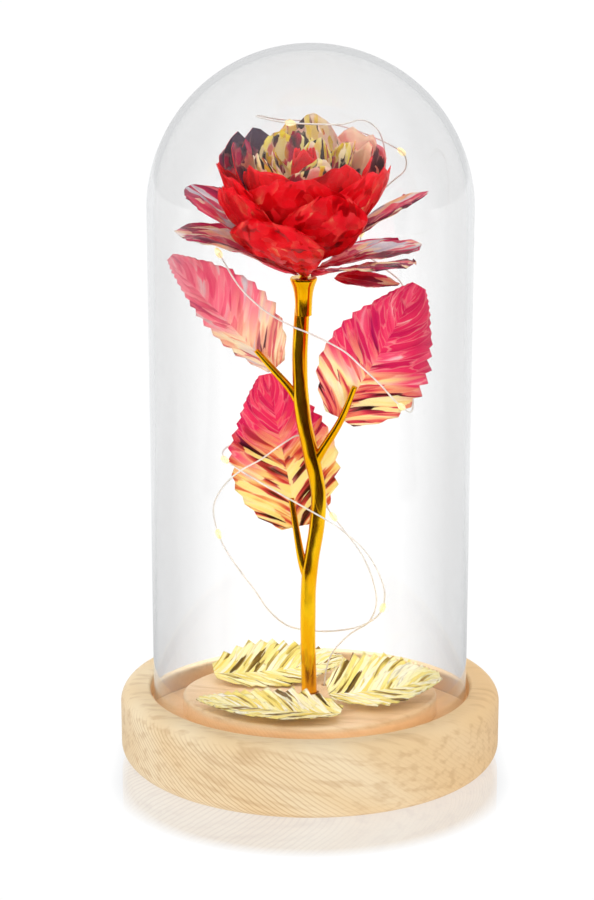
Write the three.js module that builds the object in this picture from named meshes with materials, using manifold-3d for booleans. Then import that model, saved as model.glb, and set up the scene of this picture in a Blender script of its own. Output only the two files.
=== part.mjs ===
// A film rose on a plated stem, with a light string, under a glass dome on a turned wooden base.
// Millimetres, +Z up. The origin is the middle of the base's underside, and the front faces -Y.
import * as THREE from 'three';
import { mergeVertices } from 'three/addons/utils/BufferGeometryUtils.js';
import Module from 'manifold-3d';

const wasm = await Module();
wasm.setup();

// Driving dimensions
const GAP = 0.3;
const BASE = { radius: 57.5, height: 22, topRound: 4.5, bottomRound: 5, segments: 48 };
const GROOVE = { outer: 48.6, inner: 37.6, floor: 16, lip: 1.0 };
const POCKET = { width: 54, depth: 44, height: 13, lid: 1.2, recess: 0.4 };
const DOME = { radius: 47.5, wall: 2, top: 213.4, segments: 36 };
const STEM = { radius: 2.3, socket: 15, sides: 10, steps: 26 };
const CALYX = { x: -2, z: 146.5, radius: 4, length: 11, post: 1.1, postHeight: 18 };
const HEAD_TILT = THREE.MathUtils.degToRad(4);
const STALK = { radius: 1.15, sides: 8, steps: 8 };
const LEAF = { thickness: 0.5, halfWidth: 15.5, across: 4, along: 9, tooth: 0.05 };
const PETAL = { thickness: 0.5, pinwheel: 0.95, tipDrop: 0.1 };
const WIRE = { radius: 0.25, sides: 8, steps: 80, exitX: 4.5, exitY: 8, holeRadius: 1.2 };
const BEAD = { radius: 1.2, length: 2, count: 10 };

const COLOURS = {
  wood: 0xeecb98, glass: 0xf4f7f8, gold: 0xf2bd14, leaf: 0xe2456e, fallen: 0xf1e79a,
  outerPetal: 0xe57f92, cupPetal: 0xd3122a, wire: 0xd9d4c8, plastic: 0xf3f2ee,
};

const vec = (x, y, z) => new THREE.Vector3(x, y, z);
const rad = THREE.MathUtils.degToRad;
const model = new THREE.Group();

function material(colour, roughness, metalness = 0) {
  return new THREE.MeshStandardMaterial({ color: colour, roughness, metalness });
}

function addMesh(parent, name, geometry, finish) {
  const mesh = new THREE.Mesh(geometry, finish);
  mesh.name = name;
  parent.add(mesh);
  return mesh;
}

// Closed solids and their joins and cuts
function toSolid(geometry) {
  const bare = geometry.clone();
  bare.deleteAttribute('normal');
  bare.deleteAttribute('uv');
  const merged = mergeVertices(bare, 1e-4);
  const vertProperties = new Float32Array(merged.attributes.position.array);
  const triVerts = new Uint32Array(merged.index.array);
  return new wasm.Manifold(new wasm.Mesh({ numProp: 3, vertProperties, triVerts }));
}

function toGeometry(solid) {
  const mesh = solid.getMesh();
  const geometry = new THREE.BufferGeometry();
  geometry.setAttribute('position', new THREE.BufferAttribute(mesh.vertProperties, 3));
  geometry.setIndex(new THREE.BufferAttribute(mesh.triVerts, 1));
  return geometry;
}

// A profile of [radius, height] pairs turned about the Z axis
function turned(profile, segments) {
  const points = profile.map(([radius, height]) => new THREE.Vector2(radius, height));
  return new THREE.LatheGeometry(points, segments).rotateX(Math.PI / 2);
}

function arc(centreRadius, centreHeight, radius, fromDegrees, toDegrees, steps) {
  return Array.from({ length: steps + 1 }, (_, i) => {
    const angle = rad(fromDegrees + ((toDegrees - fromDegrees) * i) / steps);
    return [centreRadius + radius * Math.cos(angle), centreHeight + radius * Math.sin(angle)];
  });
}

function tube(curve, radius, sides, steps) {
  const section = new THREE.Shape();
  for (let i = 0; i < sides; i += 1) {
    const angle = (2 * Math.PI * i) / sides;
    const x = radius * Math.cos(angle);
    const y = radius * Math.sin(angle);
    if (i === 0) section.moveTo(x, y);
    else section.lineTo(x, y);
  }
  section.closePath();
  return new THREE.ExtrudeGeometry(section, { steps, extrudePath: curve, bevelEnabled: false });
}

function pin(radius, fromHeight, toHeight, segments = 16) {
  const height = toHeight - fromHeight;
  return new THREE.CylinderGeometry(radius, radius, height, segments)
    .rotateX(Math.PI / 2)
    .translate(0, 0, fromHeight + height / 2);
}

// A thin closed sheet about surface(u, v), with u from -1 to 1 across and v from 0 to 1 along
function sheet(surface, across, along, thickness) {
  const step = 1e-3;
  const positions = [];
  const columns = across + 1;
  const layer = columns * (along + 1);
  for (const side of [0.5, -0.5]) {
    for (let j = 0; j <= along; j += 1) {
      for (let i = 0; i <= across; i += 1) {
        const u = (2 * i) / across - 1;
        const v = j / along;
        const du = surface(Math.min(u + step, 1), v).sub(surface(Math.max(u - step, -1), v));
        const dv = surface(u, Math.min(v + step, 1)).sub(surface(u, Math.max(v - step, 0)));
        const normal = du.cross(dv).normalize();
        positions.push(...surface(u, v).addScaledVector(normal, side * thickness).toArray());
      }
    }
  }
  const faces = [];
  const quad = (a, b, c, d) => faces.push(a, b, c, a, c, d);
  for (let j = 0; j < along; j += 1) {
    for (let i = 0; i < across; i += 1) {
      const k = j * columns + i;
      quad(k, k + 1, k + columns + 1, k + columns);
      quad(layer + k, layer + k + columns, layer + k + columns + 1, layer + k + 1);
    }
  }
  for (let i = 0; i < across; i += 1) {
    const end = along * columns + i;
    quad(i, layer + i, layer + i + 1, i + 1);
    quad(end, end + 1, layer + end + 1, layer + end);
  }
  for (let j = 0; j < along; j += 1) {
    const left = j * columns;
    const right = left + across;
    quad(left, left + columns, layer + left + columns, layer + left);
    quad(right, layer + right, layer + right + columns, right + columns);
  }
  const geometry = new THREE.BufferGeometry();
  geometry.setAttribute('position', new THREE.Float32BufferAttribute(positions, 3));
  geometry.setIndex(faces);
  return geometry;
}

// The turned base, its ring groove for the dome, and the battery pocket in its underside
function baseGeometry() {
  const { radius, height, topRound, bottomRound, segments } = BASE;
  const { outer, inner, floor, lip } = GROOVE;
  const profile = [
    [0, 0],
    ...arc(radius - bottomRound, bottomRound, bottomRound, -90, 0, 3),
    ...arc(radius - topRound, height - topRound, topRound, 0, 90, 3),
    ...arc(outer + lip, height - lip, lip, 90, 180, 2),
    [outer, floor],
    [inner, floor],
    ...arc(inner - lip, height - lip, lip, 0, 90, 2),
    [0, height],
  ];
  const pocket = new THREE.BoxGeometry(POCKET.width, POCKET.depth, 2 * POCKET.height);
  const stemHole = pin(STEM.radius + 1.5 * GAP, STEM.socket, height + 1, 20);
  const wireHole = pin(WIRE.holeRadius, POCKET.height - 1, height + 1, 12)
    .translate(WIRE.exitX, WIRE.exitY, 0);
  const solid = toSolid(turned(profile, segments))
    .subtract(toSolid(pocket))
    .subtract(toSolid(stemHole))
    .subtract(toSolid(wireHole));
  return toGeometry(solid);
}

function domeGeometry() {
  const { radius, wall, top, segments } = DOME;
  const foot = GROOVE.floor + GAP;
  const centre = top - radius;
  const inside = radius - wall;
  const crown = (size, from, to) => arc(0, centre, size, from, to, 7);
  const profile = [
    [inside + wall / 2, foot],
    [radius, foot + wall / 2],
    ...crown(radius, 0, 90).slice(0, -1),
    [0, top],
    [0, top - wall],
    ...crown(inside, 90, 0).slice(1),
    [inside, foot + wall / 2],
    [inside + wall / 2, foot],
  ];
  return turned(profile, segments);
}

// The stem's centre line, bottom to top
const stemCurve = new THREE.CatmullRomCurve3([
  vec(0, 0, STEM.socket + GAP),
  vec(-0.4, 0, 30),
  vec(-0.6, 0, 44),
  vec(-0.2, 0, 58),
  vec(2.1, 0, 74),
  vec(2.5, 0, 83),
  vec(0.2, 0, 95),
  vec(-2.2, 0, 106.5),
  vec(-3.1, 0.4, 122),
  vec(-2.6, 1.4, 134),
  vec(CALYX.x, 0.6, CALYX.z - 4),
]);

function calyxGeometry() {
  const { radius, length, post, postHeight } = CALYX;
  const profile = [
    [0, -length],
    [STEM.radius + 0.1, -length],
    [STEM.radius + 0.25, -length * 0.6],
    [STEM.radius + 0.7, -length * 0.3],
    [radius, -0.8],
    [radius, 0],
    [post + 0.3, 0],
    [post, 0.4],
    [post, postHeight - 0.8],
    [0, postHeight],
  ];
  return turned(profile, 12).rotateX(HEAD_TILT).translate(CALYX.x, 0, CALYX.z);
}

function stemGeometry() {
  const shaft = toSolid(tube(stemCurve, STEM.radius, STEM.sides, STEM.steps));
  return toGeometry(shaft.add(toSolid(calyxGeometry())));
}

const stemClearance = toSolid(tube(stemCurve, STEM.radius + GAP, STEM.sides, STEM.steps));

// A leaf stalk starts on the stem's centre line and is cut back to clear the stem's skin
function stalkGeometry(points) {
  const curve = new THREE.CatmullRomCurve3(points);
  const whole = toSolid(tube(curve, STALK.radius, STALK.sides, STALK.steps));
  return toGeometry(whole.subtract(stemClearance));
}

const STALKS = {
  stalk_left: [vec(-2.4, 0, 108), vec(-5.4, 0.4, 113.2), vec(-11.4, 1.2, 120), vec(-16, 2.2, 125)],
  stalk_right: [vec(1.0, 0, 91), vec(3, -0.8, 95), vec(8.8, -2.8, 105), vec(13, -4.4, 115.5)],
  stalk_low: [vec(-0.4, 0, 56), vec(-2.2, 0.3, 61.5), vec(-4, 1.2, 71), vec(-5.6, 2.2, 81)],
};

// A toothed oval leaf, folded along its midrib and arched from base to tip
function leafSurface({ base, tip, facing, foldLeft, foldRight, arch, curl = 0, width = 1 }) {
  const along = tip.clone().sub(base);
  const length = along.length();
  along.normalize();
  const across = along.clone().cross(facing).normalize();
  const normal = across.clone().cross(along);
  return (u, v) => {
    const row = v * LEAF.along;
    const tooth = Math.abs(u) > 0.99 ? LEAF.tooth * Math.cos(Math.PI * row) : 0;
    const oval = Math.sin(Math.PI * (0.04 + 0.92 * v) ** 0.8) ** 0.85;
    const half = LEAF.halfWidth * width * Math.max(oval, 0.08) * (1 + tooth);
    const fold = rad(u < 0 ? foldLeft : foldRight);
    const side = Math.sign(u) * half * Math.abs(u) * Math.cos(fold);
    const lift = half * Math.abs(u) * Math.sin(fold) + arch * Math.sin(Math.PI * v) + curl * v * v * v;
    return base.clone()
      .addScaledVector(along, length * v)
      .addScaledVector(across, side)
      .addScaledVector(normal, lift);
  };
}

const LEAVES = {
  leaf_left: {
    base: vec(-10.8, 4.6, 119), tip: vec(-42, 4.6, 151.4), facing: vec(0.15, -1, -0.2),
    foldLeft: -60, foldRight: 20, arch: 1.2,
  },
  leaf_right: {
    base: vec(8.6, 0.2, 105.5), tip: vec(31.4, -4.3, 144.8), facing: vec(0.1, -1, 0.05),
    foldLeft: 14, foldRight: 12, arch: 2, width: 1.03,
  },
  leaf_low: {
    base: vec(-3.6, 6.4, 71.5), tip: vec(-13.2, 11.6, 116.4), facing: vec(-0.05, -1, 0.1),
    foldLeft: 12, foldRight: 10, arch: -2, width: 1.06,
  },
};

const FALLEN_LEAVES = {
  fallen_leaf_back: {
    base: vec(-29, 12, 24.4), tip: vec(10.5, 21, 25.2), facing: vec(-0.1, -0.25, 1),
    foldLeft: 20, foldRight: 6, arch: -0.8, curl: 1.5, width: 0.8,
  },
  fallen_leaf_front: {
    base: vec(8.5, -30, 24), tip: vec(-32.5, -19.5, 24.2), facing: vec(0, -0.05, 1),
    foldLeft: 9, foldRight: 9, arch: -0.6, curl: 0.6, width: 0.86,
  },
  fallen_leaf_right: {
    base: vec(5.5, -11.5, 24.6), tip: vec(38.5, -4.5, 26.2), facing: vec(0.05, -0.2, 1),
    foldLeft: 22, foldRight: 10, arch: -0.6, curl: 1.2, width: 0.92,
  },
};

// The flower head: rings of petals on nested profiles, each a Bezier curve through [radius, height]
// pairs above the calyx. A petal is [facing in degrees, share of its profile that it reaches, form],
// and taper says how much it narrows to its tip.
const RINGS = [
  {
    name: 'open_petal', half: 36, taper: 0.8, across: 5, along: 4,
    forms: {
      spread: [[2, 1.7], [14, 5.5], [24, 14], [38, 13.5]],
      low: [[2, 1.7], [14, 3.4], [26, 8], [39, 7.5]],
      folded: [[2, 1.7], [14, 5.5], [27, 11], [33, 25]],
    },
    petals: [
      [185, 1, 'spread'], [104, 0.92, 'spread'], [22, 0.98, 'low'], [322, 0.96, 'low'],
      [249, 0.95, 'folded'],
    ],
  },
  {
    name: 'spread_petal', half: 36, taper: 0.8, across: 6, along: 4,
    forms: {
      spread: [[2, 4.6], [13, 9], [24, 19], [38, 26]],
      folded: [[2, 4.6], [13, 9], [26, 15], [30, 35]],
    },
    petals: [
      [166, 0.97, 'spread'], [80, 0.92, 'spread'], [358, 0.98, 'spread'], [222, 0.92, 'folded'],
      [286, 0.9, 'folded'],
    ],
  },
  {
    name: 'outer_cup_petal', half: 50, taper: 0.5, across: 6, along: 5,
    forms: { cup: [[2, 7.5], [12, 12.5], [25, 17], [26.5, 45]] },
    petals: [
      [126, 0.96, 'cup'], [192, 0.86, 'cup'], [264, 0.84, 'cup'], [334, 0.86, 'cup'], [50, 0.95, 'cup'],
    ],
  },
  {
    name: 'inner_cup_petal', half: 50, taper: 0.6, across: 6, along: 5,
    forms: { cup: [[2, 10.4], [10, 15], [19.5, 20], [21.5, 47]] },
    petals: [
      [88, 0.98, 'cup'], [160, 0.9, 'cup'], [232, 0.84, 'cup'], [300, 0.84, 'cup'], [16, 0.9, 'cup'],
    ],
  },
  {
    name: 'heart_petal', half: 60, taper: 0.6, across: 6, along: 5,
    forms: { cup: [[2, 13.3], [8, 17.8], [14.3, 22], [15.3, 44]] },
    petals: [[110, 0.97, 'cup'], [200, 0.9, 'cup'], [290, 0.86, 'cup'], [20, 0.94, 'cup']],
  },
  {
    name: 'bud_petal', half: 76, taper: 0.8, across: 6, along: 4,
    forms: { cup: [[2.3, 16.4], [5, 19.4], [9.2, 22.6], [9.2, 41]] },
    petals: [[60, 0.98, 'cup'], [180, 0.93, 'cup'], [300, 0.9, 'cup']],
  },
];

function petalSurface(profile, facing, halfAngle, reach, taper) {
  const [p0, p1, p2, p3] = profile.map(([radius, height]) => new THREE.Vector2(radius, height));
  const curve = new THREE.CubicBezierCurve(p0, p1, p2, p3);
  return (u, v) => {
    const share = v * reach * (1 - PETAL.tipDrop * u * u * v);
    const point = curve.getPoint(share);
    const tangent = curve.getTangent(share);
    const rounding = Math.sqrt(1 - taper * Math.max(0, (v - 0.5) / 0.5) ** 2.5);
    const swing = u * rounding;
    const lift = PETAL.pinwheel * swing;
    const radius = point.x + tangent.y * lift;
    const height = point.y - tangent.x * lift;
    const angle = facing + swing * halfAngle;
    return vec(radius * Math.cos(angle), radius * Math.sin(angle), height);
  };
}

function budGeometry() {
  const profile = [
    [0, 18.6], [2, 19.4], [3.8, 22.5], [4.8, 27], [4.8, 32], [4, 35.6], [2.2, 37.4], [0, 37.8],
  ];
  return turned(profile, 12);
}

const SEPAL = {
  base: vec(7.5, -3.6, 147.3), tip: vec(25, -13, 146), facing: vec(0.05, -0.35, 1),
  foldLeft: 8, foldRight: 8, arch: -0.2, width: 0.34,
};

// The light string's route: up from its hole, round the stem and the low leaf in two loops, up the
// stem's back and round behind the petals to the crown, down again behind the right leaf, and across
// the stem to its free end under the left petals
const WIRE_ROUTE = [
  vec(WIRE.exitX, WIRE.exitY, 15), vec(WIRE.exitX, WIRE.exitY, 23), vec(6.5, 9.4, 31),
  vec(12, 9, 37.5), vec(17.8, 6.8, 42), vec(20, 4.5, 48.5), vec(18.8, 2.5, 56), vec(15.5, 1.4, 64),
  vec(10, 2.2, 71.5), vec(5.4, 4, 77.5), vec(3.3, 4.2, 85), vec(2, 4.2, 90.6), vec(1.2, 4.1, 95.2),
  vec(-0.6, 3.8, 98.5), vec(-3.8, 3.1, 99.6), vec(-7.2, 2, 98), vec(-10.4, 0.9, 96),
  vec(-14.5, -0.2, 93.2), vec(-20.6, -1, 89.9), vec(-25.6, -0.6, 85.3), vec(-28.6, 0.6, 79.3),
  vec(-28.2, 2.2, 73), vec(-25.6, 4, 65.6), vec(-21, 6, 58), vec(-16.6, 7.6, 51.6),
  vec(-12, 9, 44.6), vec(-6.5, 9.8, 40), vec(0.5, 9.4, 38.6), vec(8.5, 8, 39), vec(16, 5, 41.5),
  vec(21, 2, 46), vec(22.3, 0, 52.5), vec(20, -1.6, 60), vec(15.6, -3, 67), vec(9.2, -4.8, 73),
  vec(4.6, -5.3, 76.2), vec(-1.2, -4.6, 79.4), vec(-8, -2.4, 82.8), vec(-15, 0.6, 86.2),
  vec(-21.4, 3, 89.6), vec(-25.8, 6, 92.2), vec(-25.8, 11, 94), vec(-21, 14.6, 95.8),
  vec(-14, 16, 98.4), vec(-7.6, 15.4, 101.8), vec(-2.4, 13.2, 106.6), vec(-0.9, 8.6, 111.4),
  vec(-2.2, 5.8, 117), vec(-3.2, 5.4, 124), vec(-3, 6, 132.5), vec(-1.8, 9.6, 140),
  vec(2.4, 18, 145.6), vec(8, 28, 150), vec(13, 35.4, 156.5), vec(18.5, 37, 164),
  vec(25, 33, 170.6), vec(29.2, 27.6, 175.4), vec(28.6, 24.4, 180), vec(24, 23.8, 183),
  vec(17, 25.4, 186), vec(8, 27.6, 188.6), vec(-2, 28.4, 189.8), vec(-9.6, 26, 190.4),
  vec(-15, 20.4, 191.8), vec(-16, 13, 192), vec(-12.8, 6.2, 191.6), vec(-7, 1.6, 190.8),
  vec(1, 0.4, 190.4), vec(9, 4, 190.2), vec(15.4, 11.2, 191), vec(20.6, 18.6, 187.2),
  vec(22.6, 21.8, 180.4), vec(22.4, 22.8, 173), vec(20, 27, 165.6), vec(16.4, 30, 158),
  vec(16, 28.4, 151), vec(22, 25, 146.4), vec(28.2, 20.6, 141.4), vec(29, 13, 131),
  vec(28.6, 6, 119.6), vec(30.2, 0, 111.6), vec(29.2, -6.6, 108.4), vec(25, -10.8, 111.8),
  vec(20, -12, 117.4), vec(14.2, -11.6, 122.8), vec(10.2, -10.8, 126.4), vec(4.6, -9.4, 129.4),
  vec(-1, -8, 131.8), vec(-5.2, -7.4, 133.4), vec(-11.6, -7, 136.8), vec(-15.6, -7, 139.8),
  vec(-20.6, -7.5, 145), vec(-24, -7.8, 150.4), vec(-26.4, -8, 154.6),
];

function beadGeometry(curve, share) {
  const bead = new THREE.SphereGeometry(BEAD.radius, 6, 4).scale(1, 1, BEAD.length / BEAD.radius);
  const turn = new THREE.Quaternion().setFromUnitVectors(vec(0, 0, 1), curve.getTangentAt(share));
  const at = curve.getPointAt(share);
  return bead.applyQuaternion(turn).translate(at.x, at.y, at.z);
}

function lightStringGeometry() {
  const curve = new THREE.CatmullRomCurve3(WIRE_ROUTE);
  curve.arcLengthDivisions = 2000;
  let solid = toSolid(tube(curve, WIRE.radius, WIRE.sides, WIRE.steps));
  for (let i = 1; i <= BEAD.count; i += 1) {
    const step = Math.round((WIRE.steps * i) / BEAD.count);
    solid = solid.add(toSolid(beadGeometry(curve, step / WIRE.steps)));
  }
  return toGeometry(solid);
}

// The battery box fills the pocket, and its lid closes it just above the base's underside
function batteryBoxGeometry() {
  const low = POCKET.recess + POCKET.lid + GAP;
  const height = POCKET.height - GAP - low;
  return new THREE.BoxGeometry(POCKET.width - 2 * GAP, POCKET.depth - 2 * GAP, height)
    .translate(0, 0, low + height / 2);
}

function batteryLidGeometry() {
  const plate = new THREE.BoxGeometry(POCKET.width - 2 * GAP, POCKET.depth - 2 * GAP, POCKET.lid)
    .translate(0, 0, POCKET.recess + POCKET.lid / 2);
  let solid = toSolid(plate);
  for (const offset of [-3, 0, 3]) {
    const grip = new THREE.BoxGeometry(16, 1, 0.6).translate(0, offset - POCKET.depth / 4, POCKET.recess);
    solid = solid.subtract(toSolid(grip));
  }
  return toGeometry(solid);
}

// Assembly
const wood = material(COLOURS.wood, 0.6);
const glass = material(COLOURS.glass, 0.03);
const gold = material(COLOURS.gold, 0.15, 1);
const leafFilm = material(COLOURS.leaf, 0.2);
const fallenFilm = material(COLOURS.fallen, 0.25);
const plastic = material(COLOURS.plastic, 0.5);

addMesh(model, 'base', baseGeometry(), wood);
addMesh(model, 'battery_box', batteryBoxGeometry(), plastic);
addMesh(model, 'battery_lid', batteryLidGeometry(), plastic);
addMesh(model, 'glass_dome', domeGeometry(), glass);
addMesh(model, 'stem', stemGeometry(), gold);
for (const [name, points] of Object.entries(STALKS)) {
  addMesh(model, name, stalkGeometry(points), gold);
}
for (const [name, shape] of Object.entries(LEAVES)) {
  addMesh(model, name, sheet(leafSurface(shape), LEAF.across, LEAF.along, LEAF.thickness), leafFilm);
}
for (const [name, shape] of Object.entries(FALLEN_LEAVES)) {
  addMesh(model, name, sheet(leafSurface(shape), LEAF.across, LEAF.along, LEAF.thickness), fallenFilm);
}
addMesh(model, 'sepal', sheet(leafSurface(SEPAL), 2, 6, PETAL.thickness), material(COLOURS.cupPetal, 0.2));
addMesh(model, 'light_string', lightStringGeometry(), material(COLOURS.wire, 0.3, 1));

const head = new THREE.Group();
head.position.set(CALYX.x, 0, CALYX.z);
head.rotation.x = HEAD_TILT;
model.add(head);
RINGS.forEach(({ name, forms, petals, across, along, ...shape }, ring) => {
  const finish = material(ring < 2 ? COLOURS.outerPetal : COLOURS.cupPetal, 0.2);
  petals.forEach(([facing, reach, form], i) => {
    const surface = petalSurface(forms[form], rad(facing), rad(shape.half), reach, shape.taper);
    addMesh(head, `${name}_${i + 1}`, sheet(surface, across, along, PETAL.thickness), finish);
  });
});
addMesh(head, 'bud', budGeometry(), material(COLOURS.cupPetal, 0.2));

export default model;
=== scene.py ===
"""The looks of a film rose with a light string, under a glass dome on a turned beech base.

Sizes are millimetres in the frame's axes, the front faces -Y, and MM turns them to metres.
"""
import logging
import math
from dataclasses import dataclass, field, replace
from enum import Enum
from functools import partial
from typing import Callable

import bpy
import numpy as np
from mathutils import Matrix, Vector


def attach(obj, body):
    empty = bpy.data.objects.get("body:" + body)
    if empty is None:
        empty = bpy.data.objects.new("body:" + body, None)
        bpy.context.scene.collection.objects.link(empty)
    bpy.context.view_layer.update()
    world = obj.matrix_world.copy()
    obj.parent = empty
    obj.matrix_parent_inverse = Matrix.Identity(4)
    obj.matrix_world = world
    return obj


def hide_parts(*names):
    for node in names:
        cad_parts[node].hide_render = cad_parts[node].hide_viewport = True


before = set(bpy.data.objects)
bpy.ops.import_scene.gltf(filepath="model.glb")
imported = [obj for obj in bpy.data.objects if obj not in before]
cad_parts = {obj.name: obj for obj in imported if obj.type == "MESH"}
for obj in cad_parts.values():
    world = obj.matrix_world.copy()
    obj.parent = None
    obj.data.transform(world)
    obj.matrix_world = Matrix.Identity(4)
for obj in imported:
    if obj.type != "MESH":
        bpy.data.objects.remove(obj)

LOG = logging.getLogger("rose_in_dome")
MM = 0.001
BODY = "root"
IMAGE_WIDTH, IMAGE_HEIGHT = 594, 900
# The room between the groove's floor and the dome's foot
GAP = 0.3
# Where the flower's own axes stand on the stem, and their tilt in degrees
HEAD_PLACE = (-2.0, 0.0, 146.5)
HEAD_TILT = 4.0
# How far a petal's one side lies over the next petal, and its other side under one
OVERLAP = 0.95
# How far apart two sheets of film take their patches, so that no two sheets are alike
UV_APART = 400.0
# A profile's point nearer to the axis than this lies on it
ON_AXIS = 1e-6
# A share across that is larger than this lies on a sheet's edge
AT_EDGE = 0.99
# A direction that no swept line starts in
ASLANT = (0.31, 0.52, 0.79)
# The steps that a smooth line takes from knot to knot
RUN_STEPS = 48

Points = np.ndarray
Faces = list[tuple[int, ...]]
Colour = tuple[float, float, float, float]
Stops = tuple[tuple[float, str], ...]
Surface = Callable[[np.ndarray, np.ndarray], np.ndarray]
NodeAdder = Callable[..., bpy.types.Node]


def linear(code: str) -> Colour:
    """Turns an sRGB hex code to linear light.

    Args:
        code: the colour, such as "#eecb98".

    Returns:
        Red, green, blue and a full alpha.
    """
    parts = [int(code[i:i + 2], 16) / 255 for i in (1, 3, 5)]
    light = [p / 12.92 if p <= 0.04045 else ((p + 0.055) / 1.055) ** 2.4 for p in parts]
    return (*light, 1.0)


def grey(level: float) -> Colour:
    """Gives an even grey of this strength, which may be over 1."""
    return (level, level, level, 1.0)


def metres(sizes: tuple[float, ...]) -> list[float]:
    """Turns millimetres to metres."""
    return [size * MM for size in sizes]


def add_node(tree: bpy.types.NodeTree, kind: str, *values: object, inputs: dict | None = None,
             stops: Stops = (), **settings: object) -> bpy.types.Node:
    """Adds a node with its settings and links.

    Args:
        tree: the node tree that gets the node.
        kind: the node's type name after "ShaderNode".
        values: what goes into the inputs in use, in their order: a node, a socket, a number, a
            vector or a hex colour.
        inputs: the same by the inputs' names, where the order says too little.
        stops: a colour ramp's positions and hex colours.
        settings: the node's own properties.

    Returns:
        The new node.
    """
    node = tree.nodes.new(f"ShaderNode{kind}")
    for key, value in settings.items():
        setattr(node, key, value)
    pairs = list(zip([socket for socket in node.inputs if socket.enabled], values))
    pairs += [(node.inputs[key], value) for key, value in (inputs or {}).items()]
    for socket, value in pairs:
        if isinstance(value, bpy.types.Node):
            value = next(output for output in value.outputs if output.enabled)
        if isinstance(value, bpy.types.NodeSocket):
            tree.links.new(value, socket)
        else:
            socket.default_value = linear(value) if isinstance(value, str) else value
    if stops:
        elements = node.color_ramp.elements
        while len(elements) < len(stops):
            elements.new(1.0)
        for element, (position, code) in zip(elements, stops):
            element.position = position
            element.color = linear(code)
    return node


def new_material(name: str) -> tuple[bpy.types.Material, NodeAdder]:
    """Makes an empty node material.

    Args:
        name: the material's name.

    Returns:
        The material, and add_node for its own tree.
    """
    material = bpy.data.materials.new(name)
    material.use_nodes = True
    material.node_tree.nodes.clear()
    return material, partial(add_node, material.node_tree)


def stretched(add: NodeAdder, spacing: tuple[float, float, float],
              turn: tuple[float, float, float] = (0.0, 0.0, 0.0)) -> bpy.types.Node:
    """Turns the object's coordinates and counts them in steps of real millimetres.

    Args:
        add: adds a node to the material.
        spacing: the millimetres that one step takes along X, Y and Z.
        turn: the turn about X, Y and Z, in degrees.

    Returns:
        A mapping node whose output is one unit for each step.
    """
    place = add("TexCoord").outputs["Object"]
    rotated = add("Mapping", place, inputs={"Rotation": [math.radians(a) for a in turn]})
    return add("Mapping", rotated, inputs={"Scale": [1 / (MM * s) for s in spacing]})


# Mesh tools

def make_piece(name: str, points: Points, faces: Faces, materials: list[bpy.types.Material],
               smooth: bool = False, uv: Points | None = None, along: Points | None = None,
               face_materials: list[int] | None = None) -> bpy.types.Object:
    """Makes a mesh object from points in millimetres.

    Args:
        name: the piece's name.
        points: one row of X, Y and Z for each vertex.
        faces: the vertex numbers of each face.
        materials: the piece's finishes.
        smooth: whether the faces are shaded smooth.
        uv: one row of U and V for each vertex, in metres.
        along: how far along its sheet each vertex lies, from 0 to 1.
        face_materials: the number of each face's finish.

    Returns:
        The object, linked to the scene.
    """
    mesh = bpy.data.meshes.new(name)
    mesh.from_pydata((np.asarray(points) * MM).tolist(), [], faces)
    for material in materials:
        mesh.materials.append(material)
    mesh.polygons.foreach_set("use_smooth", [smooth] * len(mesh.polygons))
    if face_materials is not None:
        mesh.polygons.foreach_set("material_index", face_materials)
    if uv is not None:
        corners = np.zeros(len(mesh.loops), dtype=np.int32)
        mesh.loops.foreach_get("vertex_index", corners)
        mesh.uv_layers.new(name="UVMap").data.foreach_set("uv", np.asarray(uv)[corners].ravel())
    if along is not None:
        mesh.attributes.new("along", "FLOAT", "POINT").data.foreach_set("value", along)
    mesh.update()
    piece = bpy.data.objects.new(name, mesh)
    bpy.context.scene.collection.objects.link(piece)
    return piece


def mount(piece: bpy.types.Object, slot: str, *nodes: str) -> None:
    """Lets a piece ride on the object and stand for CAD nodes.

    Args:
        piece: the piece.
        slot: its material slot; not used.
        nodes: the CAD nodes that it stands for.
    """
    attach(piece, BODY)
    if nodes:
        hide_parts(*nodes)
    LOG.info("%s: %d faces, in place of %s", piece.name, len(piece.data.polygons), list(nodes))


def arc(centre: tuple[float, float], radius: float, start: float, end: float,
        steps: int) -> list[tuple[float, float]]:
    """Gives the points of an arc in a lathe profile.

    Args:
        centre: its centre's distance from the axis and height.
        radius: its radius.
        start: the angle that it starts at, in degrees.
        end: the angle that it ends at.
        steps: how many straight steps it takes.

    Returns:
        Pairs of distance from the axis and height.
    """
    angles = [math.radians(start + (end - start) * i / steps) for i in range(steps + 1)]
    return [(centre[0] + radius * math.cos(a), centre[1] + radius * math.sin(a)) for a in angles]


def turned(profile: list[tuple[float, float]], segments: int) -> tuple[Points, Faces]:
    """Turns a profile about the Z axis into a closed surface.

    Args:
        profile: pairs of distance from the axis and height, in order along the outline.
        segments: how many steps a full turn takes.

    Returns:
        The points and the faces.
    """
    points, rings = [], []
    for radius, height in profile:
        if radius < ON_AXIS:
            rings.append([len(points)] * segments)
            points.append((0.0, 0.0, height))
            continue
        rings.append(list(range(len(points), len(points) + segments)))
        for i in range(segments):
            angle = 2 * math.pi * i / segments
            points.append((radius * math.cos(angle), radius * math.sin(angle), height))
    closed = profile[0][0] > ON_AXIS
    pairs = list(zip(rings, rings[1:])) + ([(rings[-1], rings[0])] if closed else [])
    faces = []
    for low, high in pairs:
        for i in range(segments):
            j = (i + 1) % segments
            corners = [low[i], low[j], high[j], high[i]]
            faces.append(tuple(dict.fromkeys(corners)))
    return np.array(points), faces


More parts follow.
